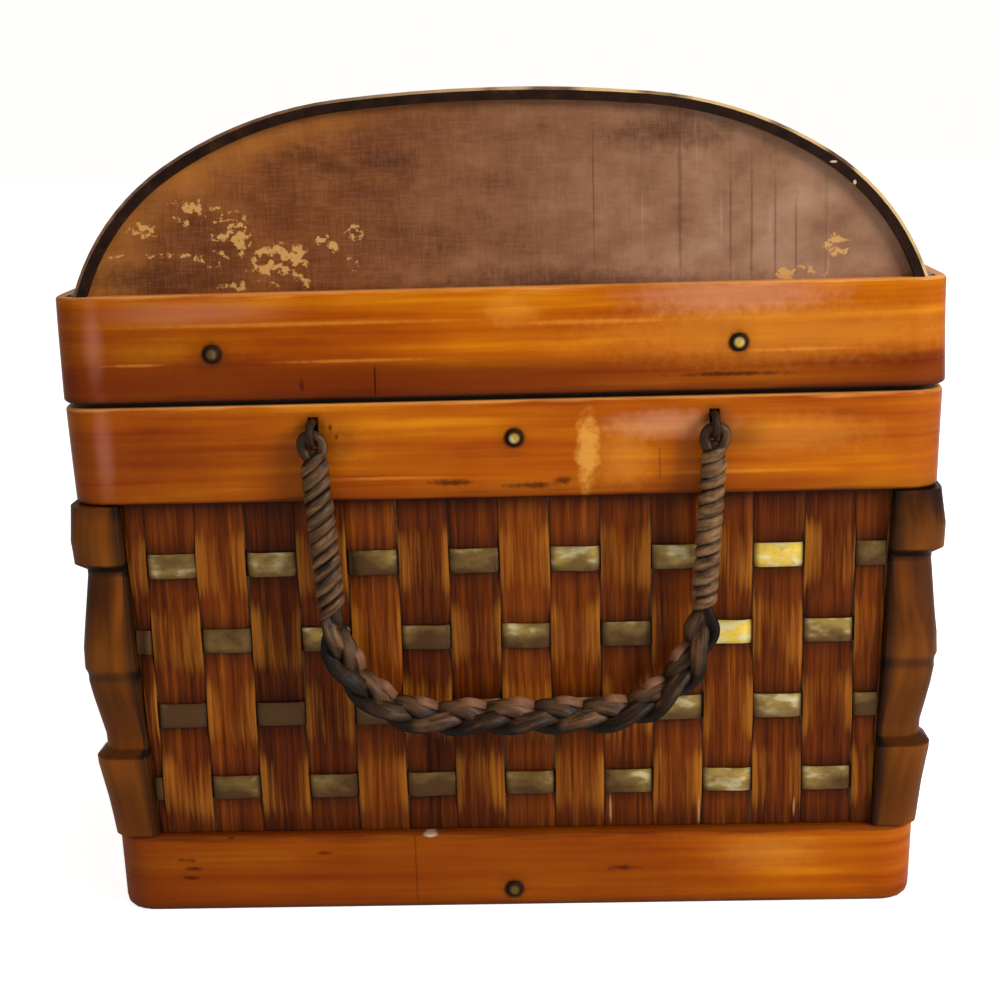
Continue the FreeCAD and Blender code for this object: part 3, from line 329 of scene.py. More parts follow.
LONG_GRAIN = noise_group(
    "long_grain", Streaks=((7.0, 190.0, 190.0), 4.0, 0.55), Strands=((24.0, 620.0, 620.0), 3.0, 0.55),
    Fibre=((45.0, 1700.0, 1700.0), 3.0, 0.55), Patches=((16.0, 45.0, 45.0), 2.0, 0.55))
TARNISH_AND_GLEAM = noise_group(
    "tarnish", Cloud=((90.0, 150.0, 90.0), 3.0, 0.5), Gleam=((130.0, 260.0, 130.0), 1.0, 0.55, 0.46, 0.6),
    Spots=((700.0, 700.0, 700.0), 3.0, 0.55, 0.58, 0.72))
LEATHER_SKIN = noise_group(
    "leather_skin", Pebble=((900.0, 900.0, 900.0), 3.0, 0.6), Scuff=((110.0, 420.0, 110.0), 4.0, 0.65))
SOFT_MARK = make_soft_mark()
BROKEN_PATCHES = make_broken_patches()


def shared(tree, group, **inputs):
    """Place a node group in a finish, and give its outputs by name."""
    return put(tree, "Group", inputs, node_tree=group).outputs


def broken_mask(tree, name, place, fineness):
    """The broken mask where the mesh's number of that name is high, for wear, painted shade and painted
    sheen.
    """
    return shared(tree, BROKEN_PATCHES, Wear=field(tree, name), Place=place, Fineness=fineness)["Mask"]


def end_marks(tree, place, foot, ragged, inner, places):
    """One mask for soft marks on the right end.

    Each is given in millimetres: across from the middle, above the foot, and its reach sideways and upward.
    """
    cloud = noise(tree, place, (260.0, 260.0, 260.0), 4.0, 0.65)
    rough = part_of(tree, calc(tree, "SUBTRACT", cloud, 0.5), ragged)
    total = 0.0
    for across, above, wide, tall in places:
        mark = shared(tree, SOFT_MARK, Place=place, Centre=(END_FACE, across * MM, foot + above * MM),
                      Reach=(MARK_DEPTH, wide * MM, tall * MM), Rough=rough, Inner=inner)
        total = calc(tree, "MAXIMUM", mark["Mask"], total)
    return total


def end_tints(tree, place, base, stains, foot=0.0):
    """A colour with stains and painted light and shade on the right end: each has a tint, strength,
    raggedness, inner share, places.
    """
    for tint, strength, ragged, inner, *places in stains.values():
        base = stain(tree, base, end_marks(tree, place, foot, ragged, inner, places), strength, tint)
    return base


print("shared effects:", [group.name for group in bpy.data.node_groups])

# %% [markdown]
# The three bands are split bamboo, bent round the box and lacquered to a deep honey orange. The lacquer is
# a clear coat over the coloured fibres, so the shader keeps a rough base with a thin glossy coat on top.
# Dirt gathers round the nails and in the joints, stain and painted shade darken the edges, painted shade
# fills the slots, the seam under the lid and the sides of the right end, and painted highlights and
# reflections lie on the lacquer. The mesh carries numbers that say where those are.

# %% Bamboo lacquer
# Painted shade on the base band and on the sides of the right end, where less light falls.
BAND_PAINTED_SHADE = {
    "painted shade on the base": ((104, 36, 1), 0.5, 0.3, 0.5, (-60, 4, 190, 60)),
    "painted shade on the sides": ((100, 34, 2), 0.66, 0.3, 0.1, (-185, 205, 200, 40), (-190, 172, 210, 26),
                   (-175, 15, 90, 40), (172, 110, 40, 300)),
}
# Stains and chips, with painted highlights and reflections in the lacquer and painted light on the lit
# right side.
BAND_STAINS_AND_LIGHT = {
    "paler areas and painted light": ((238, 164, 60), 0.22, 0.9, 0.2, (4, 220, 13, 8), (42, 169, 14, 15), (92, 20, 28, 10),
                    (100, 176, 40, 10), (95, 211, 95, 14)),
    "pale streaks": ((230, 148, 50), 0.35, 1.0, 0.1, (-70, 217.5, 85, 1.1), (-50, 204.5, 38, 0.9),
                     (30, 216, 40, 1.2), (-40, 163, 30, 0.9), (80, 163, 40, 1.0), (100, 205, 30, 1.0),
                     (-125, 204.5, 14, 0.8)),
    "painted highlight": ((232, 176, 140), 0.26, 0.7, 0.2, (80, 224, 48, 9), (58, 180, 30, 7)),
    "painted reflection at the corner": ((226, 160, 140), 0.16, 0.4, 0.0, (-139, 213, 5, 22), (-138, 175, 5, 26),
                            (-106, 222, 46, 6)),
    "pale patch": ((244, 180, 76), 0.5, 1.3, 0.3, (29.5, 171, 5, 18)),
    "white chip": ((250, 226, 200), 0.9, 0.8, 0.5, (-30, 29.3, 3.2, 1.2)),
    "by the nail and the slots": ((76, 26, 3), 0.4, 0.6, 0.0, (-98, 205, 22, 6), (-60, 176, 16, 12),
                                  (82, 176, 14, 10)),
}
BAND_SMUDGES = {
    "smudges": ((60, 18, 2), 0.8, 1.4, 0.1, (21, 161, 6, 2), (9, 159.5, 16, 1.6), (-18, 161, 12, 1.6),
                (-59, 181, 1.2, 2.6), (-57, 178, 0.8, 1.6), (-119, 20.5, 6, 1.1), (-117, 17, 5, 1.3),
                (-119, 13.5, 4, 1.3), (-69, 22.5, 4, 1.1), (-103, 29, 2, 0.7), (40, 15, 8, 1.4),
                (78, 197, 30, 1.2), (-68, 196, 1.2, 4)),
}


def bamboo_lacquer():
    """Honey-coloured bamboo under clear lacquer, with stains, painted shade and painted highlights."""
    tree, shader = begin("bamboo_band")
    place = grain_place(tree)
    at, _ = object_place(tree)
    grain = shared(tree, LONG_GRAIN, Place=place)
    streaks = weighed(tree, 0.0, (grain["Streaks"], 0.55), (grain["Patches"], 0.45))
    base = ramp(tree, streaks, (0.32, (128, 46, 1)), (0.44, (162, 74, 1)), (0.55, (182, 94, 2)),
                (0.68, (214, 130, 12)))
    base = stain(tree, base, grain["Fibre"], 0.2, (134, 54, 2))
    # Painted shade on the base band and on the sides.
    base = end_tints(tree, at, base, BAND_PAINTED_SHADE)
    base = stain(tree, base, field(tree, "lower"), 1.0, (96, 30, 1))
    # Stains and chips, with painted highlights, reflections and painted light.
    base = end_tints(tree, at, base, BAND_STAINS_AND_LIGHT)
    # Dark along both edges: stain, painted shade under the lower edge, and on the base band a painted
    # shadow of the weave along the top.
    base = stain(tree, base, broken_mask(tree, "edge", place, BROAD_BREAKUP), 0.75, (80, 24, 1))
    # A pale line along the upper edge: rubbed lacquer and a painted highlight.
    base = stain(tree, base, broken_mask(tree, "rubbed", place, BROAD_BREAKUP), 0.65, (240, 164, 84))
    base = end_tints(tree, at, base, BAND_SMUDGES)
    # Dirt round the nails, joints and slots, and painted shade in the slots and in the seam under the lid.
    base = stain(tree, base, field(tree, "dirt"), 1.0, (30, 10, 3))
    height = weighed(tree, grain["Fibre"], (grain["Streaks"], 3.0))
    feed(tree, shader, {
        "Base Color": base, "Roughness": weighed(tree, 0.2, (grain["Streaks"], 0.2)),
        "Specular IOR Level": 0.03, "Coat Weight": 0.1, "Coat Roughness": 0.1,
        "Normal": bump(tree, height, 0.2, 0.3 * MM)})


bamboo_lacquer()
print("finishes:", list(FINISHES))

# %% [markdown]
# The upright splints are thin strips of stained cane. Painted shade makes them dark and red where they dip
# behind the brass, under the rim band, near the base band and in the gaps between them. They are gold along
# the edges and over the bulges, partly rubbed back and partly a painted highlight. Each strip carries its
# own number, so no two neighbours share the same streaks.

# %% Stained splints
SLIVERS = {
    "slivers": ((206, 150, 96), 0.5, 0.5, 0.4, (35.6, 37, 0.7, 7), (67.6, 36, 0.6, 7), (102, 37, 0.5, 5)),
}


def stained_splint():
    """Red-brown cane with fine upright fibres, golden edges that are worn and partly a painted highlight,
    painted shade and a few pale slivers.
    """
    tree, shader = begin("splint")
    place = grain_place(tree)
    grain = shared(tree, LONG_GRAIN, Place=place)
    fine = weighed(tree, 0.0, (grain["Fibre"], 0.2), (grain["Strands"], 0.45))
    toned = weighed(tree, fine, (grain["Streaks"], 0.35), (field(tree, "tone"), 0.06))
    base = ramp(tree, toned, (0.3, (38, 11, 1)), (0.44, (78, 29, 3)), (0.56, (108, 47, 6)),
                (0.72, (152, 82, 16)))
    # Gold where the splint is worn, and partly a painted highlight.
    base = stain(tree, base, broken_mask(tree, "worn", place, FINE_BREAKUP), 0.62, (180, 110, 30))
    # Painted shade where the splint dips behind brass and near the bands.
    base = stain(tree, base, field(tree, "dirt"), 0.85, (28, 7, 1))
    feed(tree, shader, {
        "Base Color": end_tints(tree, object_place(tree)[0], base, SLIVERS),
        "Roughness": weighed(tree, 0.25, (grain["Fibre"], 0.3)), "Specular IOR Level": 0.05,
        "Coat Weight": 0.04, "Coat Roughness": 0.25, "Normal": bump(tree, fine, 0.6, 0.6 * MM)})


stained_splint()
print("finishes:", list(FINISHES))

# %% [markdown]
# Brass shows on the woven strips, the nails and the hinges. All three start from the same group of tarnish
# and painted gleams. Most of the strips are dull and greenish, with pale painted reflections in the
# brighter ones. The nail heads are dark at the rim and bright in the middle, partly tarnished and worn and
# partly painted light on the round head.

# %% Brass
def brass_base(tree, place, shift):
    """Brass between dull and bright, moved towards bright by the shift, with painted gleams, and the clouds
    on it.
    """
    tarnish = shared(tree, TARNISH_AND_GLEAM, Place=place)
    bright = calc(tree, "ADD", weighed(tree, 0.25, (tarnish["Cloud"], 0.5)), shift)
    base = ramp(tree, bright, (0.34, (82, 52, 18)), (0.47, (124, 96, 44)), (0.6, (178, 146, 70)),
                (0.8, (246, 208, 84)))
    # Painted reflections: pale gleams on the brighter brass.
    gleam = part_of(tree, tarnish["Gleam"], step_up(tree, bright, 0.44, 0.62))
    base = stain(tree, base, gleam, 0.6, (232, 226, 184))
    return stain(tree, base, tarnish["Spots"], 0.3, (62, 46, 20)), tarnish["Cloud"]


def strip_brass():
    """Dull brass strip whose windows differ in brightness, by tone and by painted light, shade and
    reflections.
    """
    tree, shader = begin("strip_brass")
    base, cloud = brass_base(tree, grain_place(tree), part_of(tree, field(tree, "tone"), 0.16))
    feed(tree, shader, {
        "Base Color": stain(tree, base, field(tree, "dirt"), 1.0, (44, 26, 10)), "Metallic": 0.6,
        "Roughness": weighed(tree, 0.62, (cloud, -0.45)), "Normal": bump(tree, cloud, 0.2, 0.4 * MM)})


def nail_brass():
    """A nail head with a dark rim and a bright middle, both partly painted light, and some nails that are
    dull all over.
    """
    tree, shader = begin("nail_brass")
    base, cloud = brass_base(tree, object_place(tree)[0], 0.16)
    base = stain(tree, base, field(tree, "dull"), 1.0, (52, 34, 16))
    # Painted light on the round head: bright in the middle, dark at the rim, where there is also tarnish.
    rim = step_up(tree, field(tree, "rim"), 0.25, 0.7)
    feed(tree, shader, {
        "Base Color": stain(tree, base, rim, 1.0, (40, 18, 6)),
        "Metallic": weighed(tree, 0.85, (rim, -0.6)),
        "Roughness": weighed(tree, 0.45, (rim, 0.2)), "Specular IOR Level": 0.12,
        "Normal": bump(tree, cloud, 0.2, 0.3 * MM)})


def hinge_brass():
    """Plain cast brass with some tarnish and painted gleams."""
    tree, shader = begin("hinge_brass")
    base, cloud = brass_base(tree, object_place(tree)[0], 0.06)
    feed(tree, shader, {
        "Base Color": base, "Metallic": 0.9, "Roughness": weighed(tree, 0.6, (cloud, -0.45)),
        "Normal": bump(tree, cloud, 0.2, 0.4 * MM)})


strip_brass()
nail_brass()
hinge_brass()
print("finishes:", list(FINISHES))

# %% [markdown]
# The corner posts are cut from a knobbly bamboo root. Stain and painted shade sit dark in the hollows,
# under the ledges and along the gap by the weave, and the swellings are golden, partly rubbed and partly a
# painted highlight. Painted light makes the posts paler low down, and painted shade darkens their top
# block.

# %% Root wood
def root_post():
    """Dark lacquered root wood, golden on the swellings, with painted light low down and painted shade in
    its top block.
    """
    tree, shader = begin("root_post")
    place = grain_place(tree)
    level_at = object_place(tree)[1]["Z"]
    grain = shared(tree, LONG_GRAIN, Place=place)
    mixed = weighed(tree, 0.0, (grain["Streaks"], 0.5), (grain["Patches"], 0.5))
    base = ramp(tree, mixed, (0.38, (30, 11, 1)), (0.49, (76, 36, 4)), (0.6, (126, 66, 10)))
    base = stain(tree, base, broken_mask(tree, "worn", place, BROAD_BREAKUP), 0.4, (140, 78, 16))
    # Painted light makes the posts paler low down, and painted shade darkens the top block.
    base = stain(tree, base, rest_of(tree, step_up(tree, level_at, 60 * MM, 130 * MM)), 0.22, (152, 80, 10))
    base = stain(tree, base, step_up(tree, level_at, 130 * MM, 150 * MM), 0.3, (40, 18, 5))
    # Painted shade under the ledges, in the groove and along the gap by the weave.
    feed(tree, shader, {
        "Base Color": stain(tree, base, field(tree, "dirt"), 1.0, (24, 12, 6)),
        "Roughness": weighed(tree, 0.28, (grain["Fibre"], 0.25)), "Specular IOR Level": 0.06,
        "Coat Weight": 0.06, "Coat Roughness": 0.2, "Normal": bump(tree, mixed, 0.35, 0.8 * MM)})


root_post()
print("finishes:", list(FINISHES))

# %% [markdown]
# The end panels are thin board stained brown. Stain has flaked off near the lower corners, the right half
# turns grey with a painted sheen and has upright scratches, and the left edge keeps a golden tone. Painted
# shade darkens the foot of the panels and the seam under the lid, on these panels and on the bare boards.

# %% Stained panels
PANEL_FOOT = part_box("lid_band")[1].z
SEAM_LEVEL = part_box("rim_band")[1].z
PANEL_ARCH = (0.0, 7.0, 15.5)
FLAKED_AREAS = (
    (-104, 28, 6, 6), (-95, 23, 8, 6), (-87, 19, 5, 8), (-75, 11, 11, 6), (-68, 6, 5, 7),
    (-57, 16, 5, 4), (-48, 19, 4, 3), (-49, 9, 3, 2.5), (-118, 13, 16, 1.0), (-97, 11, 7, 3),
    (-84, 2, 12, 2), (-121, 22, 6, 3), (103, 2, 9, 2.6), (115, 11, 5, 4),
)
# Dark stains, and painted shade along the foot of the panel by the lid band.
DARK_STAINS_AND_SHADE = {
    "dark stains and painted shade": ((56, 24, 10), 0.55, 1.4, 0.1, (-62, 46, 12, 6), (-55, 41, 11, 5), (-36, 43, 15, 6),
                    (-122, 5, 34, 8), (20, 0, 80, 8), (60, 50, 30, 8)),
}
SCORED_LINES = {
    "scored lines": ((74, 46, 34), 0.5, 0.5, 0.3, (33, 30, 0.5, 36), (62, 30, 0.9, 40), (79, 20, 0.6, 30),
                     (86, 20, 0.8, 30), (94, 16, 0.6, 26), (101, 14, 0.5, 22)),
}


def seam_painted_shade(tree, level_at, base):
    """Painted shade: a colour that turns nearly black within a few millimetres of the seam under the lid.
    """
    far = calc(tree, "ABSOLUTE", calc(tree, "SUBTRACT", level_at, SEAM_LEVEL))
    return stain(tree, base, rest_of(tree, step_up(tree, far, 1.5 * MM, 4.0 * MM)), 0.9, (26, 11, 4))


def stained_panel():
    """Brown stained board with flakes, scratches, a golden left edge, a painted grey sheen on the right and
    painted shade.
    """
    tree, shader = begin("stained_panel")
    place, axes = object_place(tree)
    cloud = noise(tree, place, (45.0, 45.0, 60.0), 5.0, 0.6)
    level_threads = noise(tree, place, (160.0, 160.0, 1500.0), 2.0)
    upright_threads = noise(tree, place, (160.0, 1500.0, 160.0), 2.0)
    cloth = part_of(tree, calc(tree, "ADD", level_threads, upright_threads), 0.5)
    warm = ramp(tree, cloud, (0.3, (84, 38, 12)), (0.52, (108, 56, 20)), (0.75, (132, 76, 32)))
    # The right half turns grey: a painted sheen of light.
    painted_sheen = ramp(tree, cloud, (0.3, (114, 78, 56)), (0.52, (138, 100, 76)), (0.75, (160, 124, 100)))
    base = blend(tree, step_up(tree, axes["Y"], -80 * MM, 120 * MM), warm, painted_sheen)

    from_foot = vector(tree, "SUBTRACT", place, (0.0, 0.0, PANEL_FOOT))
    rim = step_up(tree, vector(tree, "LENGTH", vector(tree, "MULTIPLY", from_foot, PANEL_ARCH)), 0.8, 1.0)
    gold = part_of(tree, rim, rest_of(tree, step_up(tree, axes["Y"], -70 * MM, 0.0)))
    base = stain(tree, base, gold, cloud, (176, 108, 38))
    base = end_tints(tree, place, base, DARK_STAINS_AND_SHADE, PANEL_FOOT)

    weathered = step_up(tree, axes["Y"], 30 * MM, 75 * MM)
    dark_lines = step_up(tree, noise(tree, place, (300.0, 300.0, 9.0), 2.0), 0.6, 0.75)
    base = stain(tree, base, part_of(tree, dark_lines, weathered), 0.3, (72, 48, 36))
    base = end_tints(tree, place, base, SCORED_LINES, PANEL_FOOT)
    pale_lines = step_up(tree, noise(tree, place, (410.0, 410.0, 14.0), 3.0), 0.62, 0.76)
    base = stain(tree, base, part_of(tree, pale_lines, weathered), 0.4, (206, 178, 156))
    base = stain(tree, base, step_up(tree, cloth, 0.4, 0.65), 0.13, (176, 126, 90))

    chips = step_up(tree, noise(tree, place, (250.0, 250.0, 300.0), 4.0, 0.6), 0.51, 0.56)
    flaked = part_of(tree, end_marks(tree, place, PANEL_FOOT, 2.2, 0.75, FLAKED_AREAS), chips)
    base = stain(tree, base, flaked, 0.8, (204, 152, 86))
    # Painted shade in the seam under the lid.
    feed(tree, shader, {
        "Base Color": seam_painted_shade(tree, axes["Z"], base), "Roughness": weighed(tree, 0.38, (cloth, 0.3)),
        "Specular IOR Level": 0.1,
        "Normal": bump(tree, calc(tree, "SUBTRACT", cloth, flaked), 0.25, 0.4 * MM)})


stained_panel()
print("finishes:", list(FINISHES))

# %% [markdown]
# The dome is a bent sheet with a thin veneer glued over it. Seen from the end, the sheet is an almost
# black arch with a few pale chips, and the veneer is a tan line outside it, paler to the right as a
# painted highlight. Inside the trunk the boards are bare wood.

# %% Dome and boards
CHIPPED_EDGE = {
    "chips": ((186, 164, 134), 1.0, 1.2, 0.75, (113, 39, 1.7, 0.5), (120, 32, 0.6, 0.9),
              (-73, 61, 1.2, 0.6)),
}


def dome_board():
    """Dark bent board with a chipped edge."""
    tree, shader = begin("dome_board")
    place, _ = object_place(tree)
    grain = shared(tree, LONG_GRAIN, Place=place)
    base = ramp(tree, grain["Streaks"], (0.3, (20, 10, 5)), (0.6, (40, 20, 10)), (0.8, (66, 38, 20)))
    feed(tree, shader, {
        "Base Color": end_tints(tree, place, base, CHIPPED_EDGE, PANEL_FOOT), "Specular IOR Level": 0.08,
        "Roughness": weighed(tree, 0.4, (grain["Fibre"], 0.3)),
        "Normal": bump(tree, grain["Fibre"], 0.4, 0.4 * MM)})


def dome_veneer():
    """Brown veneer with grain along the trunk and a tan raw edge, paler to the right as a painted
    highlight.
    """
    tree, shader = begin("dome_veneer")
    place, axes = object_place(tree)
    grain = shared(tree, LONG_GRAIN, Place=place)
    base = ramp(tree, grain["Streaks"], (0.28, (66, 36, 18)), (0.5, (98, 57, 29)), (0.72, (134, 86, 46)))
    base = stain(tree, base, grain["Fibre"], 0.3, (50, 28, 16))
    # A tan raw edge, paler to the right where it is partly a painted highlight.
    edge = step_up(tree, calc(tree, "ABSOLUTE", axes["X"]), 211.8 * MM, 212.8 * MM)
    patchy = step_up(tree, grain["Patches"], 0.34, 0.5)
    ragged = part_of(tree, patchy, step_up(tree, axes["Y"], -90 * MM, 50 * MM))
    feed(tree, shader, {
        "Base Color": stain(tree, base, edge, ragged, (206, 168, 112)),
        "Roughness": weighed(tree, 0.26, (grain["Patches"], 0.3)),
        "Coat Weight": 0.25, "Coat Roughness": 0.22, "Normal": bump(tree, grain["Fibre"], 0.35, 0.3 * MM)})


def plain_board():
    """Bare light wood with grain along the trunk."""
    tree, shader = begin("plain_board")
    place, axes = object_place(tree)
    grain = shared(tree, LONG_GRAIN, Place=place)
    base = ramp(tree, grain["Streaks"], (0.28, (120, 76, 38)), (0.5, (158, 108, 60)),
                (0.75, (186, 138, 86)))
    clouds = ramp(tree, grain["Patches"], (0.3, (190, 180, 170)), (0.7, (255, 255, 255)))
    base = blend(tree, 0.8, base, clouds, "MULTIPLY")
    # Painted shade in the seam under the lid.
    feed(tree, shader, {
        "Base Color": seam_painted_shade(tree, axes["Z"], base),
        "Roughness": weighed(tree, 0.5, (grain["Fibre"], 0.3)),
        "Normal": bump(tree, grain["Fibre"], 0.4, 0.4 * MM)})


dome_board()
dome_veneer()
plain_board()
print("finishes:", list(FINISHES))

# %% [markdown]
# The handles are old leather: a dark brown plait, a lace wound on each leg, and thongs that tie them to
# the trunk. Leather is rough with a soft sheen, lighter where hands have scuffed it and where painted
# highlights lie, and darker where painted shade lies between strands, under turns of lace and in folds.
# Each strand carries its own tone, and a tone of two stands for the pinkish flesh side of the hide.

# %% Leather
def leather(name, dark, middle, scuffed):
    """Pebbled leather between three browns."""
    tree, shader = begin(name)
    place = grain_place(tree)
    tone = field(tree, "tone")
    hide = shared(tree, LEATHER_SKIN, Place=place)
    toned = weighed(tree, hide["Scuff"], (tone, 0.1))
    base = ramp(tree, toned, (0.34, dark), (0.52, middle), (0.72, scuffed))
    # Scuffs and wear, with painted highlights on the fronts of strands and laces.
    base = stain(tree, base, broken_mask(tree, "worn", place, BROAD_BREAKUP), 0.5, scuffed)
    base = stain(tree, base, step_up(tree, tone, 1.4, 1.8), 0.6, (106, 60, 46))
    # Painted shade between strands, under turns of lace and in folds, with some dirt.
    feed(tree, shader, {
        "Base Color": stain(tree, base, field(tree, "dirt"), 1.0, (16, 10, 7)),
        "Roughness": weighed(tree, 0.34, (hide["Pebble"], 0.3)), "Specular IOR Level": 0.14,
        "Normal": bump(tree, calc(tree, "ADD", hide["Pebble"], hide["Scuff"]), 0.45, 0.4 * MM)})


leather("leather_rope", (24, 14, 7), (56, 36, 21), (112, 78, 50))
leather("leather_lace", (38, 24, 13), (80, 54, 32), (136, 100, 64))
print("finishes:", list(FINISHES))

# %% [markdown]
# New pieces are skins: rings of points, each ring joined to the next. A strip, a lace or a nail is one
# open run of rings with a cap at both ends, and a band that goes round the trunk is a run that meets
# itself. All points of a piece are worked out as whole arrays, and the mesh also carries the numbers that
# its finish reads.

# %% Skins through rings of points
def skin(name, rings, loop=False, sharp=40.0, **fields):
    """Make a mesh object from rings of points.

    rings has the shape (strips, rings, points, 3), or less the first for a single strip. Each point
    joins the next one on its ring and the same one on the next ring. With loop the last ring meets the
    first, and otherwise a flat cap closes each end. fields are numbers for every point, but for the
    grain, which is a place. All faces are turned round where the volume they close comes out negative.
    """
    rings = rings.reshape(-1, *rings.shape[-3:])
    index = np.arange(rings[..., 0].size).reshape(rings.shape[:3])
    beside = np.roll(index, -1, axis=2)
    corners = [index, beside, np.roll(beside, -1, axis=1), np.roll(index, -1, axis=1)]
    joined = slice(None) if loop else slice(-1)
    quads = np.stack([corner[:, joined] for corner in corners], axis=-1).reshape(-1, 4)
    spots = (rings - rings.mean(axis=(1, 2), keepdims=True)).reshape(-1, 3)[quads]
    normals = np.cross(spots[:, 2] - spots[:, 0], spots[:, 3] - spots[:, 1])
    order = -1 if (spots.mean(axis=1) * normals).sum() < 0 else 1
    faces = quads[:, ::order].tolist()
    if not loop:
        faces += np.concatenate([index[:, 0, ::-1], index[:, -1]])[:, ::order].tolist()
    mesh = bpy.data.meshes.new(name)
    mesh.from_pydata(rings.reshape(-1, 3), [], faces)
    mesh.polygons.foreach_set("use_smooth", np.ones(len(faces), dtype=bool))
    mesh.set_sharp_from_angle(angle=math.radians(sharp))
    for key, numbers in fields.items():
        kind, part, shape = "FLOAT", "value", rings.shape[:3]
        if key == "grain":
            kind, part, shape = "FLOAT_VECTOR", "vector", rings.shape
        layer = mesh.attributes.new(key, kind, "POINT")
        layer.data.foreach_set(part, np.broadcast_to(numbers, shape).astype(np.float32).ravel())
    return bpy.data.objects.new(name, mesh)


def settle(piece, body, slot, *nodes):
    """Give a piece its finish and its body, and let it stand for its CAD nodes."""
    bpy.context.scene.collection.objects.link(piece)
    piece.data.materials.append(FINISHES[slot])
    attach(piece, body)
    if nodes:
        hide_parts(*nodes)
    print(piece.name, "faces:", len(piece.data.polygons))


def xyz(x, y, z):
    """Three arrays as one array of points."""
    return np.stack(np.broadcast_arrays(x, y, z), axis=-1).astype(float)


def ease(share):
    """A smooth step: 0 up to 0, 1 from 1 on, and three squares less two cubes between."""
    share = np.clip(share, 0.0, 1.0)
    return share * share * (3 - 2 * share)


def hill(share):
    """A soft flat-topped hill: one over one plus the sixth power."""
    return 1 / (1 + share ** 6)


def fall(distance, reach):
    """One at no distance, fading as an exponential of the distance over the reach."""
    return np.exp(-distance / reach)


def wander(seed, *places):
    """A smooth random number from about -1 to 1: a sum of five sine waves in directions set by a seed."""
    rng = np.random.default_rng(seed)
    total = 0.0
    for _ in range(5):
        phase = rng.uniform(0, 2 * np.pi)
        for place in places:
            phase = phase + place * rng.uniform(0.6, 1.7) * rng.choice([-1, 1])
        total = total + np.sin(phase)
    return total / 2.5


def circle(points):
    """Angles of so many points round a circle."""
    return 2 * np.pi * np.arange(points) / points


def flat_ring(points, power):
    """Outline of a flat strip of unit size: a superellipse, whose cosine and sine are raised to a power."""
    angle = circle(points) + np.pi / points
    across, out = np.cos(angle), np.sin(angle)
    return np.sign(across) * np.abs(across) ** power, np.sign(out) * np.abs(out) ** power


def walk(start, heading, legs, distance):
    """Points and headings at distances along a flat path of straight legs and arcs.

    Each leg is a length and the angle that it turns through. A way along a leg is a chord: its heading is
    that of the leg's start plus half the turn, and its length is the way times the sine of half the turn
    over that half.
    """
    lengths, turns = np.array(legs).T
    bends = turns / lengths
    ends = np.cumsum(lengths)
    headings = heading + np.concatenate([[0.0], np.cumsum(turns)])

    def chord(leg, gone):
        """The chord to a point so far along a leg, as a complex number."""
        half = bends[leg] * gone / 2
        return gone * np.sinc(half / np.pi) * np.exp(1j * (headings[leg] + half))

    whole_legs = chord(np.arange(len(legs)), lengths)
    starts = complex(*start) + np.concatenate([[0.0], np.cumsum(whole_legs)])
    leg = np.clip(np.searchsorted(ends, distance, side="right"), 0, len(legs) - 1)
    gone = distance - (ends - lengths)[leg]
    point = starts[leg] + chord(leg, gone)
    return point.real, point.imag, headings[leg] + bends[leg] * gone


print("surface helpers ready")

# %% [markdown]
# The walls of the trunk lean outward, so a place on a wall is given by how far along it lies, how high,
# and how far out of the band's face. The lid stands upright. The sizes below repeat the driving sizes of
# the solids, and the rest follows from them.

# %% The leaning walls
LENGTH = 430.0 * MM
WIDTH = 307.0 * MM
RIM_STEP = 0.3 * MM
WALL_TAPER = 7.8 * MM
BAND_THICKNESS = 5.0 * MM
CORNER_RADIUS = 2.5 * BAND_THICKNESS
BASE_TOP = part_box("base_band")[1].z
RIM_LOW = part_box("rim_band")[0].z
RIM_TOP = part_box("rim_band")[1].z
LID_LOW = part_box("lid_band")[0].z
LID_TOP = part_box("lid_band")[1].z
SLOPE = WALL_TAPER / RIM_TOP
STEEP = math.hypot(1.0, SLOPE)
END_EXTRA = (LENGTH - WIDTH) / 2
WALLS = {
    "right": ((0, 1), (1, 0)), "left": ((0, -1), (-1, 0)),
    "front": ((1, 0), (0, -1)), "back": ((-1, 0), (0, 1)),
}
ENDS = ("right", "left")


def half_width(height):
    """Half the outside width of the banded body at a height."""
    return WIDTH / 2 - RIM_STEP - WALL_TAPER + height * SLOPE


def half_length(height):
    """Half the outside length of the banded body at a height."""
    return half_width(height) + END_EXTRA


def on_wall(wall, along, height, out, lean=True):
    """Points on a wall: along it, up it, and out of the band's face, square to the lean if it leans."""
    run, away = WALLS[wall]
    if lean:
        half = half_length(height) if wall in ENDS else half_width(height)
        reach = half + out / STEEP
        height = height - SLOPE * out / STEEP
    else:
        reach = (LENGTH if wall in ENDS else WIDTH) / 2 + out
    return xyz(run[0] * along + away[0] * reach, run[1] * along + away[1] * reach, height)


print("slope of the walls:", round(SLOPE, 4))

# %% [markdown]
# Each band is a strip of split bamboo with rounded edges, carried round a rectangle with round corners.
# The strip's outline is drawn once, seen end on, and every ring of the skin is that outline at one place
# of the path.

# %% Path round the trunk
def band_legs(half_x, half_y):
    """Legs of a rectangle with round corners, from the middle of its back and round by the left end."""
    corner = (CORNER_RADIUS * math.pi / 2, math.pi / 2)
    flat_x, flat_y = half_x - CORNER_RADIUS, half_y - CORNER_RADIUS
    side = [corner, (2 * flat_y, 0.0), corner]
    return [(flat_x, 0.0), *side, (2 * flat_x, 0.0), *side, (flat_x, 0.0)]


def wall_middles(half_x, half_y):
    """Distances along the path to the middle of each wall. The back's is the whole path."""
    ends = np.cumsum([leg[0] for leg in band_legs(half_x, half_y)])
    middles = (ends[1:] + ends[:-1]) / 2
    return {"left": middles[1], "front": middles[3], "right": middles[5], "back": ends[-1]}


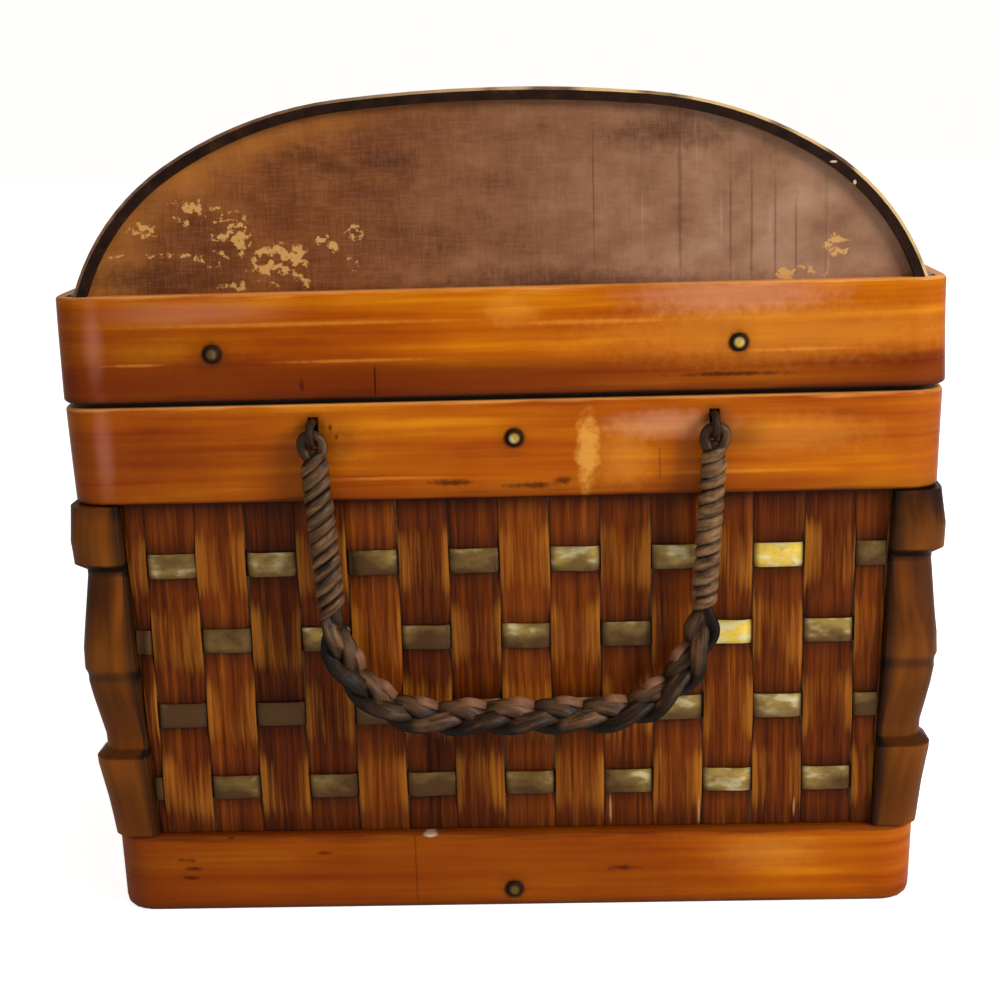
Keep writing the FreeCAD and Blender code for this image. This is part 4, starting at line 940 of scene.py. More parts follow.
def strip_outline(height, low_round, high_round, face_points):
    """Outline of a strip seen end on: depth behind its face, and height.

    It runs out along the underside, up round the lower edge, up the face, round the upper edge and back.
    """
    turn = np.linspace(0.0, np.pi / 2, 6)
    face = np.linspace(low_round, height - high_round, face_points + 2)[1:-1]
    back = BAND_THICKNESS - 0.05 * MM
    depth = [[back, (back + low_round) / 2], low_round * (1 - np.sin(turn)), np.zeros(face_points),
             high_round * (1 - np.cos(turn)), [(back + high_round) / 2, back, back]]
    level_at = [[0.0, 0.0], low_round * (1 - np.cos(turn)), face,
                height - high_round * (1 - np.sin(turn)), [height, height, height / 2]]
    return np.concatenate(depth), np.concatenate(level_at)


print("outline points of a band:", len(strip_outline(0.03, MM, MM, 20)[0]))

# %% [markdown]
# The three bands differ in their nails, joints, stains and painted light. Nails are given as shares of a
# wall's length. A joint has its wall, its place along it, the shares of the height between which it shows,
# and its strength. Each band has a darker lower part, a dark top that on the base band is a painted shadow
# of the weave, a pale upper edge that is partly rubbed and partly a painted highlight, and a darker foot.

# %% Nails and joints of the bands
HANDLE_SHIFT = 4.0 * MM
HANDLE_SPACING = 138.0 * MM
PIVOT_HEIGHT = RIM_TOP - 9.6 * MM
EDGE_ROUND = 1.3 * MM
BANDS = (
    SimpleNamespace(
        name="base_band", body="trunk_body", low=0.0, high=BASE_TOP, lean=True, low_round=3.2 * MM,
        face_points=18, seed=3, nail_level=0.245, dark=0.4, dark_share=0.2, top_stain_and_shade=1.2, rubbed=0.0,
        dark_foot=1.8 * MM,
        nails={"right": (0.0,), "left": (0.02,), "front": (-0.34, 0.0, 0.33), "back": (-0.32, 0.02, 0.34)},
        joints=[("right", -36.0, 0.0, 1.0, 0.3), ("left", 40.0, 0.0, 1.0, 1.0),
                ("back", 0.0, 0.0, 1.0, 1.0)],
        slots=[]),
    SimpleNamespace(
        name="rim_band", body="trunk_body", low=RIM_LOW, high=RIM_TOP, lean=True, low_round=EDGE_ROUND,
        face_points=60, seed=5, nail_level=0.62, dark=0.5, dark_share=0.24, top_stain_and_shade=0.0, rubbed=0.95,
        dark_foot=0.6 * MM,
        nails={"right": (0.014,), "left": (-0.02,), "front": (-0.33, 0.01, 0.32), "back": (-0.4, 0.0, 0.4)},
        joints=[("right", 54.0, 0.15, 0.5, 0.3), ("front", -90.0, 0.0, 1.0, 1.0),
                ("back", 0.0, 0.0, 1.0, 1.0)],
        slots=[(wall, shift + side * HANDLE_SPACING / 2)
               for wall, shift in (("right", HANDLE_SHIFT), ("left", -HANDLE_SHIFT)) for side in (1, -1)]),
    SimpleNamespace(
        name="lid_band", body="lid", low=LID_LOW, high=LID_TOP, lean=False, low_round=EDGE_ROUND,
        face_points=26, seed=7, nail_level=0.45, dark=0.9, dark_share=0.42, top_stain_and_shade=0.2, rubbed=0.95,
        dark_foot=1.3 * MM,
        nails={"right": (-0.32, 0.265), "left": (-0.3, 0.28), "front": (-0.39, -0.13, 0.14, 0.4),
               "back": (-0.42, -0.13, 0.12, 0.41)},
        joints=[("right", -43.0, 0.02, 0.32, 0.6), ("left", 60.0, 0.0, 1.0, 1.0),
                ("back", 0.0, 0.0, 1.0, 1.0)],
        slots=[]),
)


def nail_points(band):
    """The wall and the place along it of every nail of a band."""
    return [(wall, share * (WIDTH if wall in ENDS else LENGTH))
            for wall, shares in band.nails.items() for share in shares]


print("nails:", {band.name: len(nail_points(band)) for band in BANDS})

# %% [markdown]
# Bent bamboo is never quite flat, so the face of a band sinks a little here and there, and it never swells
# past the CAD face. It is flat under the nails. Joints and the slots of the handles are sunk into the same
# face, with more rings close to them, and the numbers for dirt, painted shade and stain follow the same
# distances.

# %% Bamboo bands
DENT = 0.22 * MM
NAIL_SEAT = 9.0 * MM
JOINT_DEPTH = 0.7 * MM
SLOT_HALF_WIDTH = 1.8 * MM
SLOT_HALF_HEIGHT = 5.1 * MM
SLOT_DEPTH = 4.4 * MM
EVEN_RINGS = 360
NEAR_NAIL = 6.0 * MM
NEAR_JOINT = 1.5 * MM
NEAR_SLOT = 3.0 * MM


def ring_places(whole, nails, joints, slots):
    """Distances of a band's rings: even steps round the path, and more near nails, joints and slots."""
    near = np.linspace(-1.0, 1.0, 25)
    fine = [s + near * NEAR_NAIL for s in nails] + [s + near[::2] * NEAR_JOINT for s, *_ in joints]
    fine += [s + near * NEAR_SLOT for s in slots]
    distance = np.concatenate([np.linspace(0.0, whole, EVEN_RINGS, endpoint=False)] + fine) % whole
    return np.unique(np.round(distance, 5))[:, None]


def band_marks(band, distance, level_at, whole, nails, joints, slots):
    """How deep a band's face is sunk and how dark, by dirt and by painted shade in the slots, from its
    dents, nail seats, joints and slots.
    """
    tall = band.high - band.low
    share = level_at / tall
    sunk = DENT * (1 + wander(band.seed, distance / 0.05, level_at / 0.02))
    dirt = 0.9 * fall(level_at, band.dark_foot)
    for s in nails:
        far = np.hypot(distance - s, level_at - band.nail_level * tall)
        sunk = sunk * ease(far / NAIL_SEAT)
        dirt = np.maximum(dirt, 0.85 * ease(1 - (far - 3.0 * MM) / (1.6 * MM)))
        dirt = np.maximum(dirt, 0.28 * ease(1 - far / NAIL_SEAT))
    for s, start, stop, strength in joints:
        far = np.abs((distance - s + whole / 2) % whole - whole / 2)
        inside = strength * ease((share - start) / 0.03) * ease((stop - share) / 0.03)
        sunk = sunk + JOINT_DEPTH * inside * ease(1 - far / (0.5 * MM))
        dirt = np.maximum(dirt, 0.8 * inside * ease(1 - far / (0.8 * MM)))
    for s in slots:
        across, rise = np.abs(distance - s), np.abs(band.low + level_at - PIVOT_HEIGHT)
        hole = ease((SLOT_HALF_WIDTH - across) / (0.5 * MM)) * ease((SLOT_HALF_HEIGHT - rise) / (0.5 * MM))
        sunk = sunk + SLOT_DEPTH * hole
        halo = ease(1 - (np.hypot(across, np.maximum(rise - 2 * MM, 0)) - 2 * MM) / (4 * MM))
        # Painted shade inside the slots, and dirt round them.
        dirt = np.maximum(dirt, np.maximum(hole, 0.55 * halo))
    return sunk, dirt


def bamboo_band(band):
    """A band of bamboo: the strip's outline set square to the path, less its dents, joints and slots.

    Stains and painted shade fade from both edges as exponentials of the distance.
    """
    tall = band.high - band.low
    half_x = half_length(band.low) if band.lean else LENGTH / 2
    half_y = half_width(band.low) if band.lean else WIDTH / 2
    middles = wall_middles(half_x, half_y)
    whole = middles["back"]
    nails = [middles[wall] + along for wall, along in nail_points(band)]
    joints = [(middles[wall] + along * MM, *rest) for wall, along, *rest in band.joints]
    slots = [middles[wall] + along for wall, along in band.slots]
    distance = ring_places(whole, nails, joints, slots)
    depth, level_at = strip_outline(tall, band.low_round, EDGE_ROUND, band.face_points)
    on_face = ease(1 - depth / (3 * MM))
    sunk, dirt = band_marks(band, distance, level_at, whole, nails, joints, slots)
    x, y, angle = walk((0.0, half_y), math.pi, band_legs(half_x, half_y), distance)
    out = (SLOPE * level_at if band.lean else 0.0) - depth - sunk * on_face
    rings = xyz(x + np.sin(angle) * out, y - np.cos(angle) * out, band.low + level_at)

    from_top = tall - level_at
    flow = 0.8 + 0.2 * wander(band.seed + 6, distance / 0.05)
    lower = band.dark * flow * ease((band.dark_share - level_at / tall) / 0.18)
    # Dark along both edges: stain, painted shade under the lower edge, and on the base band a painted
    # shadow of the weave along the top.
    edge = 0.9 * fall(level_at, 2.5 * MM) + band.top_stain_and_shade * fall(from_top, 3 * MM)
    # Painted shade: the faces hidden in the seam under the lid are painted nearly black.
    in_seam = {"lid_band": level_at < MM, "rim_band": True, "base_band": False}[band.name]
    # The pale line along the top edge is partly rubbed lacquer and partly a painted highlight.
    return skin(band.name + "_bamboo", rings, loop=True, grain=xyz(distance, level_at, band.seed),
                edge=edge, rubbed=band.rubbed * fall(from_top, 1.4 * MM), lower=lower,
                dirt=dirt * on_face + 0.9 * (1 - on_face) * in_seam)


for band in BANDS:
    settle(bamboo_band(band), band.body, "bamboo_band", band.name)

# %% [markdown]
# Round-headed nails hold the bands. A nail is turned round its own axis: one outline from the tip of the
# shank to the top of the head, swept in a circle, and set at every place that the band's row of nails
# gives.

# %% Nails
NAIL_HEAD = 3.2 * MM
NAIL_SHANK = 1.0 * MM
NAIL_LENGTH = 8.4 * MM
NAIL_RISE = 1.5 * MM
NAIL_SINK = 0.35 * MM
DULL_BEFORE = -50.0 * MM


def nail_outline():
    """Radius and height from the shank's tip to the top of the head, whose crown is part of an ellipse."""
    turn = np.linspace(0.15, 1.0, 9) * np.pi / 2
    radius = [[0.02 * MM, NAIL_SHANK, NAIL_SHANK, NAIL_HEAD * 0.97, NAIL_HEAD],
              NAIL_HEAD * np.cos(turn) * 0.99 + 0.01 * MM]
    height = [[-NAIL_LENGTH, -NAIL_LENGTH, -NAIL_SINK, -NAIL_SINK, 0.0], NAIL_RISE * np.sin(turn)]
    return np.concatenate(radius)[:, None], np.concatenate(height)[:, None]


def band_nails(band):
    """All nails of a band: the outline swept round the outward direction at each nail."""
    radius, height = nail_outline()
    around = circle(20)
    middle = band.low + band.nail_level * (band.high - band.low)
    across, up = radius * np.cos(around), middle + radius * np.sin(around)
    shells = [on_wall(wall, along + across, up, height, band.lean) for wall, along in nail_points(band)]
    rim = np.where(height > 0, radius / NAIL_HEAD, 1.0)
    dull = [0.8 if band.name == "base_band" or along < DULL_BEFORE else 0.0
            for _, along in nail_points(band)]
    return skin(band.name + "_nail_heads", np.stack(shells), rim=rim, dull=np.array(dull)[:, None, None])


for band in BANDS:
    settle(band_nails(band), band.body, "nail_brass", band.name + "_nails")

# %% [markdown]
# Each wall is woven: upright splints stand side by side, and four brass strips run across them, over one
# splint and under the next. One plan for each wall says where the rows and columns lie and which of the
# two is in front.

# %% The weave
WEAVE_LOW = BASE_TOP
WEAVE_HIGH = RIM_LOW
COLUMN_PITCH = 17.8 * MM
SPLINT_GAP = 1.2 * MM
SPLINT_THICKNESS = 1.3 * MM
ROWS = 4
ROW_PITCH = 28.0 * MM
ROW_DROP = 2.5 * MM
WEAVE_SHIFT = 6.6 * MM
BRASS_HEIGHT = 9.0 * MM
BRASS_THICKNESS = 0.5 * MM
POST_WIDTH = 16.8 * MM
POST_GAP = 0.2 * MM
BOARD_FACE = -BAND_THICKNESS / STEEP


def weave_plan(wall):
    """Heights of the rows, edges of the columns at given heights, and which brass is over which column."""
    low, high = WEAVE_LOW + POST_GAP, WEAVE_HIGH - POST_GAP
    rows = (low + high) / 2 - ROW_DROP + (np.arange(ROWS) - (ROWS - 1) / 2) * ROW_PITCH
    half = half_width if wall in ENDS else half_length
    side_gap = POST_WIDTH + 2 * POST_GAP
    usable = half(low) - side_gap - 1.5 * SPLINT_GAP
    before = int((usable + WEAVE_SHIFT) / COLUMN_PITCH + 0.5)
    after = int((usable - WEAVE_SHIFT) / COLUMN_PITCH + 0.5)
    columns = before + 1 + after

    def edges(height):
        """Left edges of the columns and the last right edge, by height: the outer ones follow the posts."""
        steps = WEAVE_SHIFT + (np.arange(columns + 1) - before - 0.5) * COLUMN_PITCH
        lines = np.repeat(steps[:, None], np.size(height), axis=1)
        lines[0] = -(half(height) - side_gap)
        lines[-1] = half(height) - side_gap
        return lines

    brass_over = (np.arange(ROWS)[:, None] + np.arange(columns)[None, :] - before) % 2 == 0
    return rows, edges, brass_over


print("columns:", {wall: weave_plan(wall)[2].shape[1] for wall in WALLS})

# %% [markdown]
# A splint bulges where it passes over brass and lies flat where brass passes over it. The skin of a splint
# is a flat ring carried up the wall, and all splints of a wall are made together as one array.

# %% Splints
BULGE = 1.25 * MM
SPLINT_RINGS = 84
SPLINT_END_GAP = 0.1 * MM
SPLINT_SIDE_GAP = 0.12 * MM
SPLINT_SEAT = 0.03 * MM
BULGE_HALF = 8.5 * MM
RUBBED_AND_SHEEN_HALF = 12.5 * MM
TUCKED_HALF = 9.5 * MM
SPLINT_SQUEEZE = 0.27 * MM
SPLINT_SWAY = 0.25 * MM
CROWN = 0.3 * MM
RIPPLE = 0.08 * MM


def woven_splints(wall, seed):
    """Flat rings carried up the wall, lifted by a hill where the splint passes over brass."""
    rows, edges, brass_over = weave_plan(wall)
    columns = brass_over.shape[1]
    height = np.linspace(WEAVE_LOW + SPLINT_END_GAP, WEAVE_HIGH - SPLINT_END_GAP, SPLINT_RINGS)
    lines = edges(height)
    left, right = lines[:-1], lines[1:]
    from_row = height[None, None, :] - rows[:, None, None]
    behind = brass_over[:, :, None]
    bulge = (~behind * hill(from_row / BULGE_HALF)).sum(axis=0)[..., None]
    rubbed = (~behind * hill(from_row / RUBBED_AND_SHEEN_HALF)).sum(axis=0)[..., None]
    tucked = (behind * hill(from_row / TUCKED_HALF)).sum(axis=0)

    across, out = flat_ring(18, 0.42)
    number = np.arange(columns)[:, None]
    tall = height[:, None]
    sway = SPLINT_SWAY * wander(seed + 1, height / 0.02, number * 7.3)
    half = (right - left) / 2 - SPLINT_SIDE_GAP - SPLINT_SQUEEZE * tucked
    middle = (left + right) / 2 + sway * ease((right - left - 12 * MM) / MM)
    along = middle[..., None] + half[..., None] * across
    crown = CROWN * ease(1.0 - np.abs(across)) * (0.4 + bulge)
    ripple = RIPPLE * (1 + wander(seed + 2, tall / 0.006, number[..., None] * 5.1, across * 2.0))
    lift = BOARD_FACE + SPLINT_SEAT + BULGE * bulge
    rise = lift + SPLINT_THICKNESS * (out + 1) / 2 + (crown + ripple) * (out > 0)
    rings = on_wall(wall, along, tall, rise)

    edge = np.abs(across) ** 2.5
    patchy = 0.14 * wander(seed + 3, tall / 0.012, number[..., None] * 3.7, across * 1.5)
    # Gold on the edges and over the bulges: wear, and partly a painted highlight.
    worn = rubbed * (0.36 + 0.34 * edge) + 0.14 * edge + patchy
    # Painted shade where the splint dips behind brass, under the rim band, near the base band and in the
    # side gaps.
    shade = (behind * ease(1 - (np.abs(from_row) - BRASS_HEIGHT / 2) / (7 * MM))).max(axis=0)
    top_end = ease(1 - (WEAVE_HIGH - height) / (9 * MM))
    ends = 0.75 * top_end + 0.5 * ease(1 - (height - WEAVE_LOW) / (12 * MM))
    dirt = np.maximum(0.55 * shade, ends)[..., None] * (1 - 0.3 * edge) + 0.35 * (np.abs(across) > 0.97)
    tone = np.random.default_rng(seed).uniform(-1, 1, columns)[:, None, None]
    return skin(wall + "_woven_splints", rings, grain=xyz(tall, along, 10.0 * seed + number[..., None]),
                worn=np.clip(worn, 0, 1), dirt=np.clip(dirt, 0, 1), tone=tone)


for seed, wall in enumerate(WALLS, start=11):
    settle(woven_splints(wall, seed), "trunk_body", "splint", wall + "_splints")

# %% [markdown]
# A brass strip is a ribbon, so its ring is a thin upright ellipse carried along the wall. It comes
# forward over one splint and goes back behind the next. Where it comes forward it shows as a window, and
# every window is tilted and creased a little on its own, so the windows catch the light differently. Each
# window also gets a painted reflection that grows towards one end, a painted highlight along its upper
# edge, and painted shade where the strip turns back. On the photographed end a few windows by the right leg
# of the handle get a painted pool of light, and those low on the left and beside the posts get painted
# shade.

# %% Brass strips
GLOW_PLACE = (87.0 * MM, 115.0 * MM)
GLOW_REACH = (21.0 * MM, 26.0 * MM)
GLOW_TONE = 3.1
LEFT_SHADE_TONE = 0.9
POST_SHADE_TONE = 0.8
BRASS_FRONT = SPLINT_THICKNESS + 0.55 * MM
BRASS_BACK = 0.12 * MM
BRASS_PROUD = 0.25 * MM
BRASS_BOW = 0.3 * MM
BRASS_CREASE = 0.12 * MM
WINDOW_STEPS = 14


def strip_path(front, share, step):
    """How far forward a strip lies along its windows: 0 behind a splint, 1 before it, half way between."""
    before = np.concatenate([front[:, :1], front[:, :-1]], axis=1)
    after = np.concatenate([front[:, 1:], front[:, -1:]], axis=1)
    beside = np.where(share < 0.5, before, after)
    turned = 0.5 * ease(step / 0.1)
    return np.where(front == beside, front, np.where(front, 0.5 + turned, 0.5 - turned))


def window_light(middle, height):
    """Painted light on a window of the right end: a bell round one place, less two soft steps of painted
    shade.
    """
    sideways = (middle - GLOW_PLACE[0]) / GLOW_REACH[0]
    upward = (height - GLOW_PLACE[1]) / GLOW_REACH[1]
    glow = np.exp(-sideways ** 2 - upward ** 2)
    # Painted shade low on the left and beside the posts.
    dull = ease((50 * MM - middle) / (100 * MM)) * ease((140 * MM - height) / (80 * MM))
    beside_post = ease((np.abs(middle) - 118 * MM) / (8 * MM))
    return GLOW_TONE * glow - LEFT_SHADE_TONE * dull - POST_SHADE_TONE * beside_post


def woven_strips(wall, seed):
    """Thin ellipses along the wall, in front of one splint and behind the next."""
    rows, edges, brass_over = weave_plan(wall)
    columns = brass_over.shape[1]
    windows = (ROWS, columns, 1)
    rng = np.random.default_rng(seed)
    share = np.linspace(0.0, 1.0, WINDOW_STEPS, endpoint=False)
    step = np.minimum(share, 1 - share)
    left, right = edges(rows)[:-1].T[..., None], edges(rows)[1:].T[..., None]
    front = brass_over[:, :, None]
    tilt = rng.uniform(-0.075, 0.075, windows) * front
    bend = rng.uniform(-0.35, 0.35, windows) * MM * front
    bow = BRASS_BOW * front * ease(step / 0.3) + bend * np.sin(2 * np.pi * share)
    tone = rng.uniform(-0.66, 0.34, windows)
    # Painted light and shade on the windows of the right end.
    if wall == "right":
        tone = tone + window_light((left + right) / 2, rows[:, None, None])
    # Painted reflection: each window grows brighter towards one end.
    tone = tone + rng.uniform(-0.8, 0.8, windows) * (share - 0.5)

    def in_a_row(values):
        """One number for every step of a window, as one run along each row."""
        return np.broadcast_to(values, (ROWS, columns, WINDOW_STEPS)).reshape(ROWS, -1, 1)

    across, out = flat_ring(12, 0.6)
    up = across * BRASS_HEIGHT / 2
    along = in_a_row(left + (right - left) * share)
    forward = in_a_row(strip_path(front, share, step))
    crease = BRASS_CREASE * wander(seed + 4, along / 0.004, across * 1.5)
    deep = forward * BRASS_FRONT + (1 - forward) * BRASS_BACK
    curl = in_a_row(tilt) * up + in_a_row(bow) + crease + BRASS_PROUD
    rise = BOARD_FACE + deep + BRASS_THICKNESS * (out + 1) / 2 + forward * curl
    rings = on_wall(wall, along, rows[:, None, None] + up, rise)
    # Painted shade on the strip's edges, at its turns and where it runs behind a splint.
    dirt = 0.4 * np.abs(across) ** 4 + 0.55 * in_a_row(ease(1 - step / 0.14)) + 0.8 * (1 - forward)
    strip = seed + np.arange(float(ROWS))[:, None, None]
    # A painted highlight along the upper edge of the strip.
    return skin(wall + "_woven_brass", rings, grain=xyz(along, up, strip),
                tone=in_a_row(tone) + 0.45 * across, dirt=np.clip(dirt, 0, 1))


for seed, wall in enumerate(WALLS, start=31):
    settle(woven_strips(wall, seed), "trunk_body", "strip_brass", wall + "_brass_strips")

# %% [markdown]
# A corner post is one stem of root bamboo, cut to an angle so that it wraps the corner. Its section is
# the same angle at every height, with a rounded outer corner, and only the distance that it stands out
# changes: two blocks with a sharp ledge, and a soft swelling between them. More rings near a ledge keep
# the ledge crisp.

# %% Corner posts
POST_LEVELS = (
    (0.0, 0.3), (0.12, 1.4), (0.23, 2.8), (0.25, 2.8), (0.272, -0.6), (0.31, -0.6), (0.43, 1.8),
    (0.52, 3.2), (0.58, 2.8), (0.66, 1.4), (0.73, 0.2), (0.79, -0.8), (0.81, -0.8), (0.832, 2.6),
    (0.9, 2.8), (1.0, 1.2),
)
POST_CORNER = 0.62 * CORNER_RADIUS
POST_EDGE = 1.2 * MM
POST_LUMP = 0.35 * MM
POST_RINGS = 70
LEDGE_STEP = 0.004
RIDGE_SHARE = 0.5
RIDGE_DEPTH = 0.5 * MM


def post_section():
    """Outline of the angle: each point is its distance to the x face and to the y face.

    It starts at the edge on one wall, follows the face, turns round the corner, follows the other face,
    and comes back along the inside of the angle.
    """
    turn = np.linspace(0.0, np.pi / 2, 9)
    face = np.linspace(POST_WIDTH, POST_CORNER, 8)[1:-1]
    near = 0.3 * POST_EDGE
    x = [[POST_WIDTH, POST_WIDTH, POST_WIDTH - near], face, POST_CORNER * (1 - np.sin(turn)), 0 * face,
         [near, POST_EDGE, BAND_THICKNESS, BAND_THICKNESS, BAND_THICKNESS]]
    y = [[BAND_THICKNESS, POST_EDGE, near], 0 * face, POST_CORNER * (1 - np.cos(turn)), face[::-1],
         [POST_WIDTH - near, POST_WIDTH, POST_WIDTH, 2 * BAND_THICKNESS, BAND_THICKNESS]]
    return np.concatenate(x), np.concatenate(y)


def root_corner(name, side_x, side_y, seed):
    """The angle carried up one corner, set out by the levels and by small lumps."""
    shares, proud = np.array(POST_LEVELS).T
    rows = np.concatenate([np.linspace(0, 1, POST_RINGS), shares, shares - LEDGE_STEP, shares + LEDGE_STEP])
    share = np.unique(rows.clip(0, 1))[:, None]
    height = WEAVE_LOW + POST_GAP + share * (WEAVE_HIGH - WEAVE_LOW - 2 * POST_GAP)
    out = np.interp(share, shares, proud) * MM
    x, y = post_section()
    face = np.minimum(x, y) < BAND_THICKNESS - 1e-9
    around = np.arctan2(y - POST_WIDTH, x - POST_WIDTH)
    lump = POST_LUMP * (wander(seed, height / 0.012, around * 1.6) - 1.0)
    ridge = RIDGE_DEPTH * np.exp(-((share - RIDGE_SHARE) / 0.012) ** 2)
    moved = (out + lump - ridge) * face
    place_x = side_x * (half_length(height) - x + moved * (x < POST_WIDTH - 2 * MM))
    place_y = side_y * (half_width(height) - y + moved * (y < POST_WIDTH - 2 * MM))

    # Painted shade under the ledges, in the groove, along the inner edges by the weave and under the rim
    # band; the gold on the swellings is wear and partly a painted highlight.
    ledge = ease(np.abs(np.gradient(out[:, 0], height[:, 0]))[:, None] / 1.2)
    below = np.interp(share + 0.02, shares, proud) * MM - out
    worn = np.clip((out + 0.8 * MM) / (4 * MM) + 0.5 * lump / MM, 0, 1) * (1 - ledge) * face
    dirt = 0.7 * ease(below / (2 * MM)) + 0.55 * ledge + 0.6 * np.exp(-((share - RIDGE_SHARE) / 0.014) ** 2)
    dirt = dirt + 0.75 * (np.maximum(x, y) > POST_WIDTH - 1.5 * MM) + 0.4 * ease((share - 0.95) / 0.05)
    post = skin(name + "_root", xyz(place_x, place_y, height), sharp=50.0,
                grain=xyz(height, around * 8 * MM, float(seed)), worn=worn, dirt=np.clip(dirt, 0, 1))
    settle(post, "trunk_body", "root_post", name)


root_corner("corner_post_front_right", 1, -1, 51)
root_corner("corner_post_front_left", -1, -1, 52)
root_corner("corner_post_back_right", 1, 1, 53)
root_corner("corner_post_back_left", -1, 1, 54)

# %% [markdown]
# A handle hangs at each end: a plaited bow between two legs wound with lace. Its path is drawn flat, as
# straight runs and bends between the two pivots, and is then set out from the wall.

# %% Path of a handle
HANDLE_DROP = 102.0 * MM
LEG_LENGTH = 0.62 * HANDLE_DROP
LEG_TAPER = 4.5 * MM
LEG_RADIUS = 5.4 * MM
LEG_GAP = 0.9 * MM
STANDOFF = LEG_RADIUS + LEG_GAP
PIVOT_X = half_length(PIVOT_HEIGHT) + STANDOFF
BOW_CORNER = 0.353 * HANDLE_DROP
BOW_TUCK = 9.0 * MM
SIDES = (1, -1)
END_NAMES = {1: "right", -1: "left"}


def leg_line(side):
    """Top and foot of a leg in the plane of the handle, and the way from the foot to the top."""
    top = np.array([side * HANDLE_SPACING / 2, 0.0])
    foot = top - np.array([side * LEG_TAPER, LEG_LENGTH])
    return top, foot, (top - foot) / np.linalg.norm(top - foot)


def bow_legs():
    """The bow from one leg to the other: a run, a bend, the grip, a bend and a run."""
    top, foot, way = leg_line(1)
    heading = math.atan2(-way[1], -way[0])
    turn = -math.pi - heading
    corner = top - way * HANDLE_DROP / way[1]
    cut = BOW_CORNER * math.tan(-turn / 2)
    run = np.linalg.norm(foot - corner) - cut + BOW_TUCK
    bend = (BOW_CORNER * -turn, turn)
    grip = 2 * (corner[0] - cut)
    return foot + way * BOW_TUCK, heading, [(run, 0.0), bend, (grip, 0.0), bend, (run, 0.0)]


def in_handle(end, out, across, up):
    """Points of the right (1) or left (-1) handle: out of the wall, across it and up from the pivot."""
    return xyz(end * (PIVOT_X + out), HANDLE_SHIFT + across, PIVOT_HEIGHT + up)


BOW_LENGTH = sum(leg[0] for leg in bow_legs()[2])
print("length of the bow:", round(BOW_LENGTH, 4))

# %% [markdown]
# The bow is three strands of leather. Each strand sways from side to side as a sine of the distance, and
# in and out at twice that rate, a third of a period after the one before, which is just what plaiting
# does. The plait is tilted, so its lower row faces out, and a flat lace is threaded along its inner side.

# %% Plaited bow
PLAIT_RINGS = 260
PLAIT_PERIOD = 51.0 * MM
PLAIT_TILT = math.radians(38)
SWAY = 3.3 * MM
DEPTH = 2.5 * MM
STRAND_HALF_WIDTH = 3.2 * MM
STRAND_HALF_THICKNESS = 1.9 * MM
STRAND_TONES = np.array([-0.8, 0.1, 0.9])[:, None, None]
THREAD_RINGS = 220
THREAD_SIDE = 4.2 * MM
THREAD_START = BOW_TUCK + 13 * MM
THREAD_HALF_WIDTH = 1.7 * MM
THREAD_HALF_THICKNESS = 0.7 * MM
THREAD_OUT = 1.7 * MM
THREAD_DIP = 2.6 * MM


def unit(vectors):
    """Vectors at length one."""
    return vectors / np.linalg.norm(vectors, axis=-1, keepdims=True)


def bow_frame(distance):
    """Points along the bow, and at each the way across the plait and the way that the plait faces."""
    across, up, angle = walk(*bow_legs(), distance)
    below = xyz(0.0, -np.sin(angle), np.cos(angle))
    out = np.array([1.0, 0.0, 0.0])
    sideways = below * math.cos(PLAIT_TILT) + out * math.sin(PLAIT_TILT)
    facing = out * math.cos(PLAIT_TILT) - below * math.sin(PLAIT_TILT)
    return xyz(0.0, across, up), sideways, facing


def ribbon(end, middle, facing, wide, thick):
    """Flat rings carried along a line of a handle, square to the line and flat to the way that it faces."""
    ahead = unit(np.gradient(middle, axis=-2))
    across = unit(np.cross(facing, ahead))
    upward = np.cross(ahead, across)
    outline = wide[..., None] * across[..., None, :] + thick[..., None] * upward[..., None, :]
    return in_handle(end, *np.moveaxis(middle[..., None, :] + outline, -1, 0))


def plaited_bow(end, seed):
    """Three strands: sway is a sine of the distance, depth one at twice the rate, each a third further."""
    distance = np.linspace(0.0, BOW_LENGTH, PLAIT_RINGS)
    centre, sideways, facing = bow_frame(distance)
    strand = np.arange(3)[:, None]
    phase = 2 * np.pi * (distance / PLAIT_PERIOD + strand / 3)
    gathered = 0.3 + 0.7 * ease((np.minimum(distance, BOW_LENGTH - distance) - BOW_TUCK / 2) / (14 * MM))
    sway = SWAY * gathered * np.sin(phase) * np.where(np.sin(phase) > 0, 1.0, 0.88)
    deep = DEPTH * gathered * np.sin(2 * phase)
    middle = centre + sideways * sway[..., None] + facing * deep[..., None]
    wide, thick = flat_ring(16, 0.75)
    lumps = 1 + 0.05 * wander(seed, distance[:, None] / 0.004, strand[..., None] * 4.0, wide * 2)
    size = (0.6 + 0.4 * gathered)[:, None] * lumps
    rings = ribbon(end, middle, facing, size * STRAND_HALF_WIDTH * wide,
                   size * STRAND_HALF_THICKNESS * thick)
    sway_share, deep_share = (sway / SWAY)[..., None], (deep / DEPTH)[..., None]
    # Paler on the raw inner side, and as a painted highlight where a strand comes to the front; painted
    # shade where it goes behind and along its edges.
    worn = 0.1 + 0.5 * ease(-sway_share) + 0.3 * ease(deep_share) - 0.2 * np.abs(wide)
    dirt = 0.9 * ease(0.3 - deep_share) + 0.8 * np.abs(wide) ** 4
    grain = xyz(distance[:, None], wide * STRAND_HALF_WIDTH, seed + strand[..., None])
    return skin(f"handle_plait_{seed}", rings, grain=grain, worn=np.clip(worn, 0, 1),
                dirt=np.clip(dirt, 0, 0.95), tone=STRAND_TONES)


